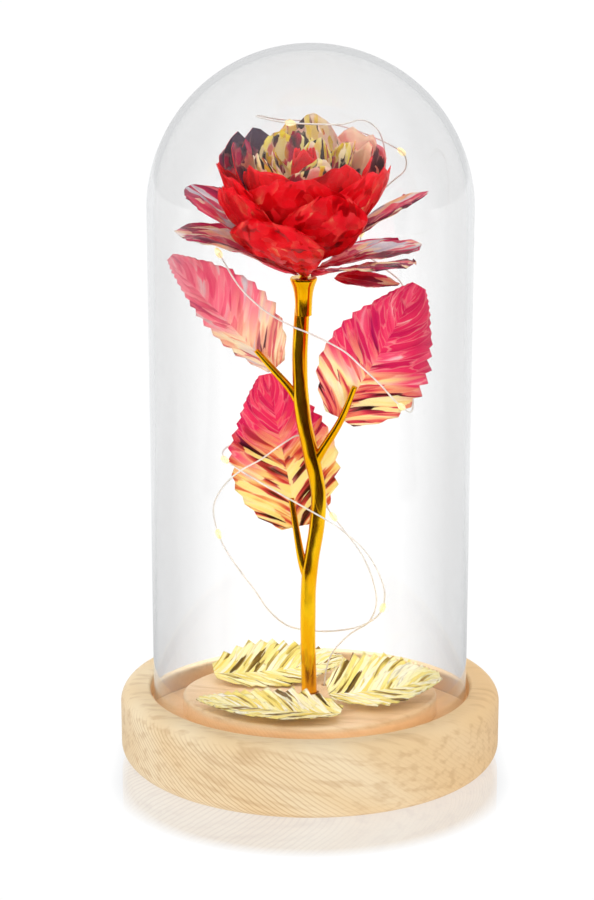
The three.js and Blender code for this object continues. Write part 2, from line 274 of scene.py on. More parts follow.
def swept(line: Points, radii: np.ndarray, sides: int) -> tuple[Points, Faces]:
    """Sweeps a round section along a line, with flat ends.

    Args:
        line: the points that the middle of the section follows.
        radii: the section's radius at each point.
        sides: how many sides the section has.

    Returns:
        The points and the faces.
    """
    tangents = np.gradient(line, axis=0)
    tangents /= np.linalg.norm(tangents, axis=1)[:, None]
    side = np.cross(tangents[0], ASLANT)
    points, faces = [], []
    for centre, tangent, radius in zip(line, tangents, radii):
        side = side - tangent * np.dot(side, tangent)
        side /= np.linalg.norm(side)
        other = np.cross(tangent, side)
        for i in range(sides):
            angle = 2 * math.pi * i / sides
            points.append(centre + radius * (math.cos(angle) * side + math.sin(angle) * other))
    for j in range(len(line) - 1):
        for i in range(sides):
            k = (i + 1) % sides
            low, high = j * sides, (j + 1) * sides
            faces.append((low + i, low + k, high + k, high + i))
    faces.append(tuple(range(sides - 1, -1, -1)))
    faces.append(tuple(range((len(line) - 1) * sides, len(line) * sides)))
    return np.array(points), faces


def joined(parts: list[tuple[Points, Faces]]) -> tuple[Points, Faces]:
    """Puts several closed shells into one mesh.

    Args:
        parts: each shell's points and faces.

    Returns:
        The points and the faces.
    """
    points, faces, count = [], [], 0
    for part_points, part_faces in parts:
        points.append(np.asarray(part_points))
        faces += [tuple(i + count for i in face) for face in part_faces]
        count += len(part_points)
    return np.concatenate(points), faces


def smooth_route(knots: tuple[tuple[float, float, float], ...], spacing: float) -> Points:
    """Draws a smooth line through points, as a centripetal Catmull-Rom curve.

    Args:
        knots: the points that it passes through.
        spacing: the distance between the points of the result.

    Returns:
        Points at even distances along the line.
    """
    p = np.array(knots, float)
    p = np.concatenate([[2 * p[0] - p[1]], p, [2 * p[-1] - p[-2]]])
    t = np.linspace(0, 1, RUN_STEPS, endpoint=False)[:, None]
    runs = []
    for a, b, c, d in zip(p, p[1:], p[2:], p[3:]):
        da, db, dc = (np.linalg.norm(q) ** 0.5 for q in (b - a, c - b, d - c))
        leave = ((b - a) / da - (c - a) / (da + db) + (c - b) / db) * db
        arrive = ((c - b) / db - (d - b) / (db + dc) + (d - c) / dc) * db
        square = -3 * b + 3 * c - 2 * leave - arrive
        cube = 2 * b - 2 * c + leave + arrive
        runs.append(b + leave * t + square * t ** 2 + cube * t ** 3)
    fine = np.concatenate([*runs, [p[-2]]])
    reach = np.concatenate([[0], np.cumsum(np.linalg.norm(np.diff(fine, axis=0), axis=1))])
    places = np.linspace(0, reach[-1], max(2, round(reach[-1] / spacing) + 1))
    return np.stack([np.interp(places, reach, fine[:, i]) for i in range(3)], axis=1)


def set_on_stem(points: Points, place: tuple[float, float, float], tilt: float) -> Points:
    """Puts what is modelled upright on the end of the stem.

    Args:
        points: the points in their own axes.
        place: where their origin comes to lie.
        tilt: the tilt about X, in degrees.

    Returns:
        The points in the frame.
    """
    turn = np.array(Matrix.Rotation(math.radians(tilt), 3, "X"))
    return points @ turn.T + np.array(place)


def length_of(line: Points) -> float:
    """Gives a line's length."""
    return float(np.linalg.norm(np.diff(line, axis=0), axis=1).sum())


# Finishes

@dataclass(frozen=True)
class BeechFinish:
    """Turned and sanded beech: pale straw, with fine slanting saw lines and long brown fibres.

    Attributes:
        pale: the palest wood.
        mid: the darker wood between it.
        line: the saw lines and the fibres.
        warm: the warmer, darker tone towards the right.
        disc: the tint of the raised disc, which is pinker than the rim.
        groove_shade: painted shade on the groove's walls, a browner tint.
        line_spacing: the lines' spacing, a little coarser than the real one so that it shows.
        slant: how steeply lines and grain run, in degrees.
        waver: how far a line wavers, in radians of its own spacing.
        side_radius: the radius of the side that the lines run round.
        side_heights: from the top edge, where no line shows, down to where all do.
        cut_across: from right to left, where the lines come to stand out.
        warm_span: from left to right, where the wood grows warmer and darker.
        disc_span: the disc's edge, from outside to inside.
        disc_heights: the heights over which its tint sets in.
        groove_shade_span: the groove's outer edge, from outside to inside, where the painted shade
            begins.
        groove_shade_heights: the heights over which the painted shade deepens, downwards into the
            groove.
    """

    pale: str = "#ecd8b4"
    mid: str = "#e6c99c"
    line: str = "#b88c5c"
    warm: str = "#dcb074"
    disc: str = "#fff0e4"
    # Painted shade: the groove's walls are tinted browner, more so lower down, for the shade in the
    # recess
    groove_shade: str = "#fcc88c"
    line_spacing: float = 1.25
    slant: float = 36.0
    waver: float = 7.0
    side_radius: float = 57.5
    side_heights: tuple[float, float] = (21.2, 18.5)
    cut_across: tuple[float, float] = (18.0, -10.0)
    warm_span: tuple[float, float] = (0.0, 55.0)
    disc_span: tuple[float, float] = (38.5, 36.5)
    disc_heights: tuple[float, float] = (20.5, 21.8)
    groove_shade_span: tuple[float, float] = (50.5, 48.8)
    groove_shade_heights: tuple[float, float] = (21.4, 19.6)

    def saw_lines(self, add: NodeAdder, xyz: bpy.types.NodeOutputs) -> tuple[bpy.types.Node, ...]:
        """Draws the saw's fine lines, which slant down round the side.

        Args:
            add: adds a node to the material.
            xyz: the object's coordinates, by their letters.

        Returns:
            The lines, and the lines as strong as they show at each place.
        """
        ahead = add("Math", xyz["Y"], -1.0, operation="MULTIPLY")
        around = add("Math", xyz["X"], ahead, operation="ARCTAN2")
        run = add("Math", around, MM * self.side_radius, operation="MULTIPLY")
        unrolled = add("CombineXYZ", inputs={"X": run, "Z": xyz["Z"]})
        slanted = add("Mapping", unrolled,
                      inputs={"Rotation": (0.0, -math.radians(self.slant), 0.0)})
        down = add("SeparateXYZ", slanted).outputs["Z"]
        uneven = add("TexNoise", stretched(add, (9, 9, 9)), inputs={"Scale": 1.0})
        phase = add("Math", uneven, self.waver, operation="MULTIPLY")
        turns = add("Math", down, math.tau / (MM * self.line_spacing), phase,
                    operation="MULTIPLY_ADD")
        wave = add("Math", turns, operation="SINE")
        lines = add("MapRange", wave, 0.2, 1.0, 0.0, 0.5)
        # The front's left was cut across the fibres, so the lines stand out there
        cut = add("MapRange", xyz["X"], *metres(self.cut_across), 0.2, 1.0)
        side = add("MapRange", xyz["Z"], *metres(self.side_heights))
        there = add("Math", side, cut, operation="MULTIPLY")
        return lines, add("Math", lines, there, operation="MULTIPLY")

    def build(self) -> bpy.types.Material:
        """Makes the wood's material.

        Returns:
            The material.
        """
        material, add = new_material("turned_beech")
        place = add("TexCoord").outputs["Object"]
        xyz = add("SeparateXYZ", place).outputs
        # Broad tone changes run along the grain, tens of millimetres long and a few wide
        broad = add("TexNoise", stretched(add, (60, 30, 12), (0, -self.slant, 0)),
                    inputs={"Scale": 1.0, "Detail": 1.0})
        wood = add("ValToRGB", broad, stops=((0.3, self.mid), (0.7, self.pale)))
        # Warmer and darker towards the right
        warmer = add("MapRange", xyz["X"], *metres(self.warm_span), 0.0, 0.7)
        wood = add("Mix", warmer, wood, self.warm, data_type="RGBA")
        lines, shown = self.saw_lines(add, xyz)
        wood = add("Mix", shown, wood, self.line, data_type="RGBA")
        # Brown fibres, 1 to 2 mm wide and tens of millimetres long, run from left to right
        fibre = add("TexNoise", stretched(add, (34, 2.6, 2.0), (0, -12, 8)),
                    inputs={"Scale": 1.0})
        fibres = add("MapRange", fibre, 0.5, 0.68, 0.0, 0.34)
        wood = add("Mix", fibres, wood, self.line, data_type="RGBA")
        # The raised disc has a tint of its own; the groove's walls get painted shade, deeper lower
        # down
        flat = add("VectorMath", place, (1.0, 1.0, 0.0), operation="MULTIPLY")
        far = add("VectorMath", flat, operation="LENGTH")
        for span, heights, most, tint, blend in (
                (self.disc_span, self.disc_heights, 0.7, self.disc, "MULTIPLY"),
                (self.groove_shade_span, self.groove_shade_heights, 0.6, self.groove_shade, "MIX")):
            within = add("MapRange", far, *metres(span))
            level = add("MapRange", xyz["Z"], *metres(heights), 0.0, most)
            share = add("Math", within, level, operation="MULTIPLY")
            wood = add("Mix", share, wood, tint, data_type="RGBA", blend_type=blend)
        bump = add("Bump", inputs={"Height": lines, "Strength": 0.25, "Distance": 0.15 * MM},
                   invert=True)
        shader = add("BsdfPrincipled", inputs={"Base Color": wood, "Roughness": 0.55,
                                               "IOR": 1.45, "Normal": bump})
        add("OutputMaterial", shader)
        return material


@dataclass(frozen=True)
class GlassFinish:
    """Blown clear glass with painted shade: its wall greys towards the dome's outline, where it is
    seen aslant, for the darker room mirrored there, and its crown is painted an even pale grey.

    Attributes:
        wall: painted shade: the wall's greys, by how far aslant it is seen, for the darker room
            mirrored at a glancing angle.
        crown_shade: painted shade: an even pale grey over the crown.
        crown_shade_heights: the heights over which the crown's painted shade sets in.
        crown_shade_share: how far it takes over.
        tint: the colour of light that has gone through the glass.
        density: how much the glass takes away on the way.
    """

    # Painted shade towards the outline, for the darker room mirrored there
    wall: Stops = ((0.14, "#ffffff"), (0.27, "#f2f2f2"), (0.38, "#e6e6e6"), (0.55, "#dbdbdb"))
    # Painted shade: an even pale grey over the crown
    crown_shade: str = "#ededed"
    crown_shade_heights: tuple[float, float] = (145.0, 190.0)
    crown_shade_share: float = 0.8
    tint: str = "#f4f4f5"
    density: float = 18.0

    def build(self) -> bpy.types.Material:
        """Makes the glass's material.

        Returns:
            The material.
        """
        material, add = new_material("blown_clear_glass")
        # Painted shade: the glass's colour greys where the wall is seen aslant
        aslant = add("LayerWeight").outputs["Facing"]
        wall = add("ValToRGB", aslant, stops=self.wall)
        # Painted shade: above these heights the crown is tinted an even pale grey
        place = add("TexCoord").outputs["Object"]
        height = add("SeparateXYZ", place).outputs["Z"]
        high = add("MapRange", height, *metres(self.crown_shade_heights), 0.0, self.crown_shade_share)
        body = add("Mix", high, wall, self.crown_shade, data_type="RGBA")
        shader = add("BsdfPrincipled", inputs={"Base Color": body, "Roughness": 0.0, "IOR": 1.5,
                                               "Transmission Weight": 1.0})
        depth = add("VolumeAbsorption", self.tint, self.density)
        add("OutputMaterial", shader, depth)
        return material


@dataclass(frozen=True)
class GoldPlateFinish:
    """Bright gold plating on a moulded stem: a yellow mirror with a slightly uneven skin.

    Attributes:
        gold: the plating's brighter tone.
        deep: its deeper tone.
    """

    gold: str = "#fbc818"
    deep: str = "#f0a800"

    def build(self) -> bpy.types.Material:
        """Makes the plating's material.

        Returns:
            The material.
        """
        material, add = new_material("gold_plating")
        uneven = add("TexNoise", stretched(add, (5, 5, 14)), inputs={"Scale": 1.0})
        tone = add("ValToRGB", uneven, stops=((0.35, self.deep), (0.65, self.gold)))
        rough = add("MapRange", uneven, 0.0, 1.0, 0.08, 0.2)
        bump = add("Bump", inputs={"Height": uneven, "Strength": 0.35, "Distance": 0.6 * MM})
        shader = add("BsdfPrincipled", inputs={"Base Color": tone, "Metallic": 1.0,
                                               "Roughness": rough, "Normal": bump})
        add("OutputMaterial", shader)
        return material


@dataclass(frozen=True)
class FilmFinish:
    """Crumpled interference film: each flat patch leans another way, and its colour is partly the
    film's own and partly painted reflection and painted shade, as if it mirrored its own part of
    the room.

    Attributes:
        name: the material's name.
        root: the colours near a sheet's base, by tone from 0 to 1; the darkest and palest are
            partly painted shade and painted reflection.
        tip: the colours near its end, with painted shade and painted reflection among them as well.
        turn: where along the sheet the root's colours give way to the tip's.
        zone: a patch's size in millimetres, across the sheet and along it, or along a side vein
            and between two veins.
        vein: the side veins' slope, in millimetres along for each millimetre across.
        patch_share: how much of the tone is a patch's own, and not the soft clouds'; a patch's own
            tone is partly painted reflection.
        sweep: how much of the tone rises from the front of the flower to its back.
        lean: how far the patches lean.
        metallic: how much of the film is metallised.
        roughness: the roughness of its shine.
        through: how much light it scatters through.
        clear: how much light passes straight through.
        fold: the colour of the thin lines along the folds: painted highlights on the ridges, and
            dark lines in the fallen leaves' film.
        fold_share: how strong these lines are.
        stray: how far a patch's edges stray, as a share of its size.
        halves_apart: how far apart a leaf's two halves take their patches, in millimetres, so
            that they differ.
        ragged: how far the change to the tip's colours strays along the sheet.
        sweep_depths: the front and the back of the flower.
    """

    name: str
    root: Stops
    tip: Stops
    turn: tuple[float, float] = (0.5, 0.8)
    zone: tuple[float, float] = (4.0, 11.0)
    vein: float = 0.0
    patch_share: float = 0.5
    sweep: float = 0.0
    lean: float = 0.3
    metallic: float = 0.5
    roughness: float = 0.25
    through: float = 0.3
    clear: float = 0.1
    # Painted highlight along the folds' ridges
    fold: str = "#ffd8cc"
    fold_share: float = 0.7
    stray: float = 1.3
    halves_apart: float = 200.0
    ragged: float = 0.25
    sweep_depths: tuple[float, float] = (-16.0, 14.0)

    def patches(self, add: NodeAdder) -> tuple[bpy.types.Node | bpy.types.NodeSocket, ...]:
        """Lays the patches out on the sheet.

        Args:
            add: adds a node to the material.

        Returns:
            Each patch's own random colour, partly painted reflection, the soft clouds' tone, and
            how near a fold is.
        """
        xy = add("SeparateXYZ", add("TexCoord").outputs["UV"]).outputs
        across, along = xy["X"], xy["Y"]
        # A leaf's patches lie between its side veins, which run out and up from the midrib
        if self.vein:
            right = add("Math", across, 0.0, operation="GREATER_THAN")
            start = add("Math", right, MM * self.halves_apart, along, operation="MULTIPLY_ADD")
            across = add("Math", across, operation="ABSOLUTE")
            along = add("Math", across, -self.vein, start, operation="MULTIPLY_ADD")
        flat = add("CombineXYZ", across, along)
        scale = (1 / (MM * self.zone[0]), 1 / (MM * self.zone[1]), 1.0)
        steps = add("Mapping", flat, inputs={"Scale": scale})
        # The patches' edges stray, and a fold is a thin line along an edge, a painted highlight
        # except on the fallen leaves
        drift = add("TexNoise", steps, inputs={"Scale": 0.9}).outputs["Color"]
        bent = add("VectorMath", drift, (self.stray, self.stray, 0.0), steps,
                   operation="MULTIPLY_ADD")
        patch = add("TexVoronoi", bent, inputs={"Scale": 1.0},
                    distance="EUCLIDEAN" if self.vein else "MANHATTAN")
        rim = add("TexVoronoi", bent, inputs={"Scale": 1.0}, feature="DISTANCE_TO_EDGE")
        fold = add("MapRange", rim, 0.07, 0.02)
        # The soft clouds are larger than the patches
        cloud = add("TexNoise", steps, inputs={"Scale": 0.6})
        soft = add("MapRange", cloud, 0.32, 0.68)
        return patch.outputs["Color"], soft, fold

    def build(self) -> bpy.types.Material:
        """Makes the film's material.

        Returns:
            The material.
        """
        material, add = new_material(self.name)
        patch, cloud, fold = self.patches(add)
        # A patch's tone picks its colour: partly the film's own, partly painted reflection and
        # painted shade
        own = add("SeparateXYZ", patch).outputs["X"]
        tone = add("Mix", self.patch_share, cloud, own)
        if self.sweep:
            place = add("TexCoord").outputs["Object"]
            depth = add("SeparateXYZ", place).outputs["Y"]
            back = add("MapRange", depth, *metres(self.sweep_depths))
            tone = add("Mix", self.sweep, tone, back)
        root = add("ValToRGB", tone, stops=self.root)
        tip = add("ValToRGB", tone, stops=self.tip)
        along = add("Attribute", attribute_name="along").outputs["Fac"]
        strayed = add("Math", cloud, self.ragged, along, operation="MULTIPLY_ADD")
        turn = add("MapRange", strayed, *self.turn)
        colour = add("Mix", turn, root, tip, data_type="RGBA")
        # The folds' lines, painted highlights except on the fallen leaves, are broken, as the
        # clouds are
        broken = add("Math", fold, cloud, operation="MULTIPLY")
        folded = add("Math", broken, self.fold_share, operation="MULTIPLY")
        colour = add("Mix", folded, colour, self.fold, data_type="RGBA")
        # Each patch leans its own way, so that it mirrors its own part of the room
        offset = add("VectorMath", patch, (0.5, 0.5, 0.5), operation="SUBTRACT")
        upright = add("NewGeometry").outputs["Normal"]
        tilted = add("VectorMath", offset, (self.lean,) * 3, upright, operation="MULTIPLY_ADD")
        normal = add("VectorMath", tilted, operation="NORMALIZE")
        shine = add("BsdfPrincipled",
                    inputs={"Base Color": colour, "Metallic": self.metallic, "Normal": normal,
                            "Roughness": self.roughness, "Specular Tint": colour})
        glow = add("BsdfTranslucent", colour)
        body = add("MixShader", self.through, shine, glow)
        pass_through = add("BsdfTransparent", colour)
        add("OutputMaterial", add("MixShader", self.clear, body, pass_through))
        return material


class Film(Enum):
    """The tones that the film is cut from, whose darkest and palest patches are partly painted
    shade and painted reflection.
    """

    # Painted shade and painted highlights: the darkest reds stand for shade in the creases, the
    # palest tones for glints
    CORE = FilmFinish(
        "red_interference_film",
        root=((0.0, "#700004"), (0.16, "#b4000a"), (0.34, "#e40014"), (0.7, "#fc1024"),
              (1.0, "#ff4440")),
        tip=((0.0, "#800006"), (0.14, "#c8020c"), (0.34, "#f00818"), (0.7, "#ff2434"),
             (0.86, "#ff584c"), (1.0, "#ffb884")),
        zone=(2.4, 3.8), patch_share=0.6, lean=0.8, metallic=0.3, roughness=0.3, through=0.3,
        clear=0.0, fold="#ff7068", fold_share=0.12,
    )
    LOBE = FilmFinish(
        "silver_pink_interference_film",
        root=((0.0, "#b00418"), (0.3, "#dc1430"), (0.55, "#f44060"), (0.75, "#f88c88"),
              (1.0, "#f8dcac")),
        tip=((0.0, "#54283c"), (0.22, "#8c3050"), (0.34, "#cc3464"), (0.46, "#ec5c80"),
             (0.55, "#f8a0a4"), (0.62, "#fae0b4"), (0.72, "#eee8ea"), (0.82, "#ccc8d4"),
             (0.93, "#948c9c"), (1.0, "#dcdc94")),
        turn=(0.35, 0.7), zone=(3.0, 10.0), patch_share=0.75, sweep=0.2, lean=0.4, metallic=0.25,
        through=0.3, clear=0.06, fold_share=0.35,
    )
    VIOLET = FilmFinish(
        "violet_interference_film",
        root=((0.0, "#a80014"), (0.4, "#e81430"), (0.7, "#f04068"), (1.0, "#fce8a8")),
        tip=((0.0, "#38304c"), (0.42, "#5c4860"), (0.52, "#b42860"), (0.7, "#e44074"),
             (0.8, "#fcb898"), (0.9, "#fcf0c8"), (1.0, "#34382c")),
        turn=(0.4, 0.65), zone=(4.6, 6.0), patch_share=0.6, lean=0.5, metallic=0.3, through=0.35,
        clear=0.04, fold_share=0.4,
    )
    GOLD = FilmFinish(
        "gold_green_interference_film",
        root=((0.0, "#980008"), (0.3, "#d4000e"), (0.6, "#f41828"), (0.85, "#ff5c48"),
              (1.0, "#fcd890")),
        tip=((0.0, "#1c2824"), (0.16, "#504038"), (0.26, "#cc2c50"), (0.34, "#f0d820"),
             (0.54, "#fcf4a8"), (0.8, "#fdf0dc"), (1.0, "#ec8074")),
        turn=(0.62, 0.82), zone=(1.7, 3.2), patch_share=0.85, lean=0.6, metallic=0.3, through=0.3,
        clear=0.04, fold="#fff4d0",
    )
    DUSK = FilmFinish(
        "cream_rose_interference_film",
        root=((0.0, "#b80420"), (0.4, "#ec2834"), (0.7, "#f88c60"), (1.0, "#fcf0b0")),
        tip=((0.0, "#4c383c"), (0.34, "#6c4854"), (0.42, "#d05c78"), (0.5, "#f8a8b0"),
             (0.58, "#fdf0c4"), (0.85, "#fefbdc"), (1.0, "#f8dcd8")),
        turn=(0.45, 0.65), zone=(4.6, 5.0), patch_share=0.8, lean=0.5, metallic=0.2, through=0.4,
        clear=0.06,
    )
    LEAF = FilmFinish(
        "pink_leaf_film",
        root=((0.0, "#1c1814"), (0.18, "#5c2428"), (0.29, "#e44860"), (0.4, "#f8a080"),
              (0.52, "#fcecac"), (0.8, "#fdf8d8"), (1.0, "#f8d4b8")),
        tip=((0.0, "#a81860"), (0.14, "#dc2868"), (0.6, "#f44476"), (0.84, "#fa6c90"),
             (0.93, "#fcb4c0"), (1.0, "#fdecec")),
        turn=(0.42, 0.62), zone=(10.0, 2.3), vein=0.8, patch_share=0.55, lean=0.35, metallic=0.15,
        through=0.4, clear=0.08, fold_share=0.45,
    )
    LOW_LEAF = replace(
        LEAF, name="gold_and_pink_leaf_film",
        root=((0.0, "#1c1814"), (0.2, "#6c3420"), (0.3, "#dc5048"), (0.38, "#f0a060"),
              (0.48, "#fcec98"), (0.8, "#fdf6bc"), (1.0, "#f4d4a0")),
        turn=(0.55, 0.78),
    )
    PALE_LEAF = replace(
        LEAF, name="pale_pink_leaf_film",
        root=((0.0, "#403034"), (0.16, "#905c60"), (0.28, "#e87880"), (0.45, "#f8c8a8"),
              (0.6, "#fcf0cc"), (0.8, "#ecdcdc"), (1.0, "#c8b8bc")),
        tip=((0.0, "#cc3c70"), (0.2, "#f06084"), (0.5, "#fc88a0"), (0.7, "#fca0ac"),
             (0.82, "#f4c4c8"), (0.92, "#e4dce0"), (1.0, "#fdf0ec")),
    )
    FALLEN = FilmFinish(
        "pale_gold_leaf_film",
        root=((0.0, "#3c2c10"), (0.14, "#8c6c2c"), (0.21, "#f4e070"), (0.5, "#fcf2a4"),
              (1.0, "#fffcec")),
        tip=((0.0, "#6c3018"), (0.14, "#a8883c"), (0.21, "#f8e880"), (0.55, "#fdf8bc"),
             (1.0, "#fffdf4")),
        zone=(8.0, 1.3), vein=0.8, patch_share=0.85, lean=0.3, metallic=0.0, through=0.25,
        clear=0.0, fold="#6c5018", fold_share=0.4,
    )


@dataclass(frozen=True)
class WireFinish:
    """Silvered fine wire in clear lacquer: a thin line, nearly as pale as the room.

    Attributes:
        skin: the silvered skin.
        worn: the skin where it is duller.
    """

    skin: str = "#f6f3ee"
    worn: str = "#dcd6cc"

    def build(self) -> bpy.types.Material:
        """Makes the wire's material.

        Returns:
            The material.
        """
        material, add = new_material("silvered_wire")
        wear = add("TexNoise", stretched(add, (3, 3, 3)), inputs={"Scale": 1.0})
        tone = add("ValToRGB", wear, stops=((0.3, self.worn), (0.7, self.skin)))
        shader = add("BsdfPrincipled",
                     inputs={"Base Color": tone, "Metallic": 0.4, "Roughness": 0.4})
        add("OutputMaterial", shader)
        return material


@dataclass(frozen=True)
class ResinFinish:
    """Clear cured resin over a warm light: a small glinting drop with a pale yellow glow.

    Attributes:
        glow: the light's colour in the resin.
        pale: its paler clouds.
        strength: how strongly it glows.
    """

    glow: str = "#ffe7a8"
    pale: str = "#fff6d8"
    strength: float = 0.3

    def build(self) -> bpy.types.Material:
        """Makes the resin's material.

        Returns:
            The material.
        """
        material, add = new_material("lit_clear_resin")
        cloud = add("TexNoise", stretched(add, (0.8, 0.8, 0.8)), inputs={"Scale": 1.0})
        tone = add("ValToRGB", cloud, stops=((0.3, self.glow), (0.7, self.pale)))
        shader = add("BsdfPrincipled",
                     inputs={"Base Color": tone, "Roughness": 0.12, "IOR": 1.5,
                             "Transmission Weight": 0.8, "Emission Color": tone,
                             "Emission Strength": self.strength})
        add("OutputMaterial", shader)
        return material


@dataclass(frozen=True)
class AbsFinish:
    """Moulded white ABS: matt, with a fine spark-eroded texture of about 0.4 mm.

    Attributes:
        skin: the plastic's colour.
        pit: its colour in the texture's pits.
    """

    skin: str = "#eeece6"
    pit: str = "#e4e1d9"

    def build(self) -> bpy.types.Material:
        """Makes the plastic's material.

        Returns:
            The material.
        """
        material, add = new_material("moulded_abs")
        grain = add("TexNoise", stretched(add, (0.4, 0.4, 0.4)), inputs={"Scale": 1.0})
        tone = add("ValToRGB", grain, stops=((0.3, self.pit), (0.7, self.skin)))
        bump = add("Bump", inputs={"Height": grain, "Strength": 0.2, "Distance": 0.05 * MM})
        shader = add("BsdfPrincipled", inputs={"Base Color": tone, "Roughness": 0.45,
                                               "IOR": 1.53, "Normal": bump})
        add("OutputMaterial", shader)
        return material


# Film sheets

@dataclass(frozen=True)
class Crease:
    """How a sheet of film is creased.

    Attributes:
        across: facets from side to side.
        along: facets from base to tip.
        split: the small steps that each facet takes.
        relief: how far the creases stand out, in millimetres.
        wrinkle: how far the small steps stand out.
        wander: how far a crease strays, as a share of a facet.
        pleat: how far the pleats along the side veins stand out.
        slant: how far the side veins run towards the tip, as a share of the length.
        tooth: how far the edge's teeth stand out, as a share of the half width.
        notch: how far the tip's edge is notched, as a share of the length.
    """

    across: int
    along: int
    split: int = 3
    relief: float = 0.4
    wrinkle: float = 0.03
    wander: float = 0.3
    pleat: float = 0.0
    slant: float = 0.0
    tooth: float = 0.0
    notch: float = 0.0


@dataclass(frozen=True)
class FilmSheet:
    """A thin creased sheet about a surface, with its own facets, teeth and pleats.

    Attributes:
        surface: the sheet's middle surface, by the shares across and along.
        crease: how the sheet is creased.
        seed: the start of its own random numbers, and its place in the film's pattern.
        thickness: the film's thickness.
        tooth_sizes: the smallest and the largest tooth, as shares of the usual one.
        slope_step: the share of the sheet over which its slope is measured.
        spine_points: the number of points over which its length is measured.
    """

    surface: Surface
    crease: Crease
    seed: int
    thickness: float = 0.16
    tooth_sizes: tuple[float, float] = (0.3, 1.5)
    slope_step: float = 1e-3
    spine_points: int = 9

    def lattice(self, rng: np.random.Generator) -> tuple[np.ndarray, np.ndarray, np.ndarray]:
        """Places the creases' crossings.

        Args:
            rng: the sheet's own random numbers.

        Returns:
            Each crossing's share across, share along, and how far it stands out.
        """
        c = self.crease
        u, v = np.meshgrid(np.linspace(-1, 1, c.across + 1), np.linspace(0, 1, c.along + 1))
        inner = np.zeros_like(u)
        inner[1:-1, 1:-1] = 1
        u = u + inner * c.wander * rng.uniform(-1, 1, u.shape) * 2 / c.across
        v = v + inner * c.wander * rng.uniform(-1, 1, v.shape) / c.along
        height = c.relief * rng.uniform(-1, 1, u.shape)
        rows = np.arange(c.along + 1)[:, None]
        in_and_out = np.where(rows % 2 == 0, 1, -1)
        # Pleats rise away from the midrib, and die out at the base and the tip
        envelope = np.clip(np.abs(u) * 1.6, 0, 1) * np.sin(np.pi * np.clip(v, 0.03, 0.97)) ** 0.4
        height += c.pleat * in_and_out * envelope
        v = v + c.slant * np.abs(u) * np.sin(np.pi * v)
        # Every other crossing on a side edge is a tooth, and the tip's edge is cut unevenly
        edge = 1 + c.tooth * in_and_out * rng.uniform(*self.tooth_sizes, u.shape)
        u = np.where(np.abs(u) > AT_EDGE, np.sign(u) * edge, u)
        v = np.where(rows == c.along, v - c.notch * rng.uniform(0, 1, u.shape), v)
        return u, v, height

    def creased(self, rng: np.random.Generator) -> tuple[np.ndarray, np.ndarray, np.ndarray]:
        """Takes small steps across the facets, each a flat run between four crossings.

        Args:
            rng: the sheet's own random numbers.

        Returns:
            Each step's share across, share along, and how far it stands out.
        """
        c = self.crease
        coarse = np.stack(self.lattice(rng), axis=-1)
        j, i = np.indices((c.along * c.split + 1, c.across * c.split + 1))
        row, column = np.minimum(j // c.split, c.along - 1), np.minimum(i // c.split, c.across - 1)
        t, s = (j / c.split - row)[..., None], (i / c.split - column)[..., None]
        low = coarse[row, column] * (1 - s) + coarse[row, column + 1] * s
        high = coarse[row + 1, column] * (1 - s) + coarse[row + 1, column + 1] * s
        fine = low * (1 - t) + high * t
        return fine[..., 0], np.clip(fine[..., 1], 0, 1), fine[..., 2]

    def shell(self) -> tuple[Faces, list[bool]]:
        """Numbers the faces of the front, the back and the cut edge between them.

        Returns:
            The faces, and whether each lies on the back.
        """
        rows, columns = (n * self.crease.split + 1 for n in (self.crease.along, self.crease.across))
        number = np.arange(rows * columns).reshape(rows, columns)
        front = np.stack([number[:-1, :-1], number[:-1, 1:], number[1:, 1:], number[1:, :-1]],
                         axis=-1).reshape(-1, 4)
        rim = np.concatenate([number[:-1, 0], number[-1, :-1], number[:0:-1, -1], number[0, :0:-1]])
        after, layer = np.roll(rim, -1), rows * columns
        edge = np.stack([rim, after, after + layer, rim + layer], axis=-1)
        faces = np.concatenate([front, front[:, ::-1] + layer, edge]).tolist()
        on_back = [False] * len(front) + [True] * len(front) + [False] * len(edge)
        return [tuple(face) for face in faces], on_back

    def laid_flat(self, u: np.ndarray, v: np.ndarray) -> Points:
        """Lays the sheet out in a place of its own in the film's pattern, at its real size.

        Args:
            u: the shares across, from -1 to 1.
            v: the shares along, from 0 to 1.

        Returns:
            One row of U and V for each, in metres.
        """
        ends = self.surface(np.array([-1.0, 1.0]), np.array([0.5, 0.5]))
        spine = self.surface(np.zeros(self.spine_points), np.linspace(0, 1, self.spine_points))
        wide, long = np.linalg.norm(ends[1] - ends[0]) / 2, length_of(spine)
        return np.stack([u * wide, v * long + UV_APART * self.seed], axis=1) * MM

    def build(self, name: str, materials: list[bpy.types.Material]) -> bpy.types.Object:
        """Makes the sheet's mesh.

        Args:
            name: the piece's name.
            materials: the finish of its front, and that of its back where it differs.

        Returns:
            The sheet.
        """
        rng = np.random.default_rng(self.seed)
        u, v, lift = (values.ravel() for values in self.creased(rng))
        lift = lift + self.crease.wrinkle * rng.normal(0, 1, u.shape)
        step = self.slope_step
        du = self.surface(u + step, v) - self.surface(u - step, v)
        dv = self.surface(u, np.minimum(v + step, 1)) - self.surface(u, np.maximum(v - step, 0))
        normal = np.cross(du, dv)
        normal /= np.maximum(np.linalg.norm(normal, axis=1), 1e-9)[:, None]
        middle = self.surface(u, v) + normal * lift[:, None]
        half = normal * self.thickness / 2
        faces, on_back = self.shell()
        back_finish = len(materials) - 1
        return make_piece(name, np.concatenate([middle + half, middle - half]), faces, materials,
                          smooth=True, uv=np.tile(self.laid_flat(u, v), (2, 1)),
                          along=np.tile(v, 2), face_materials=[back_finish * b for b in on_back])


# Sub-assemblies

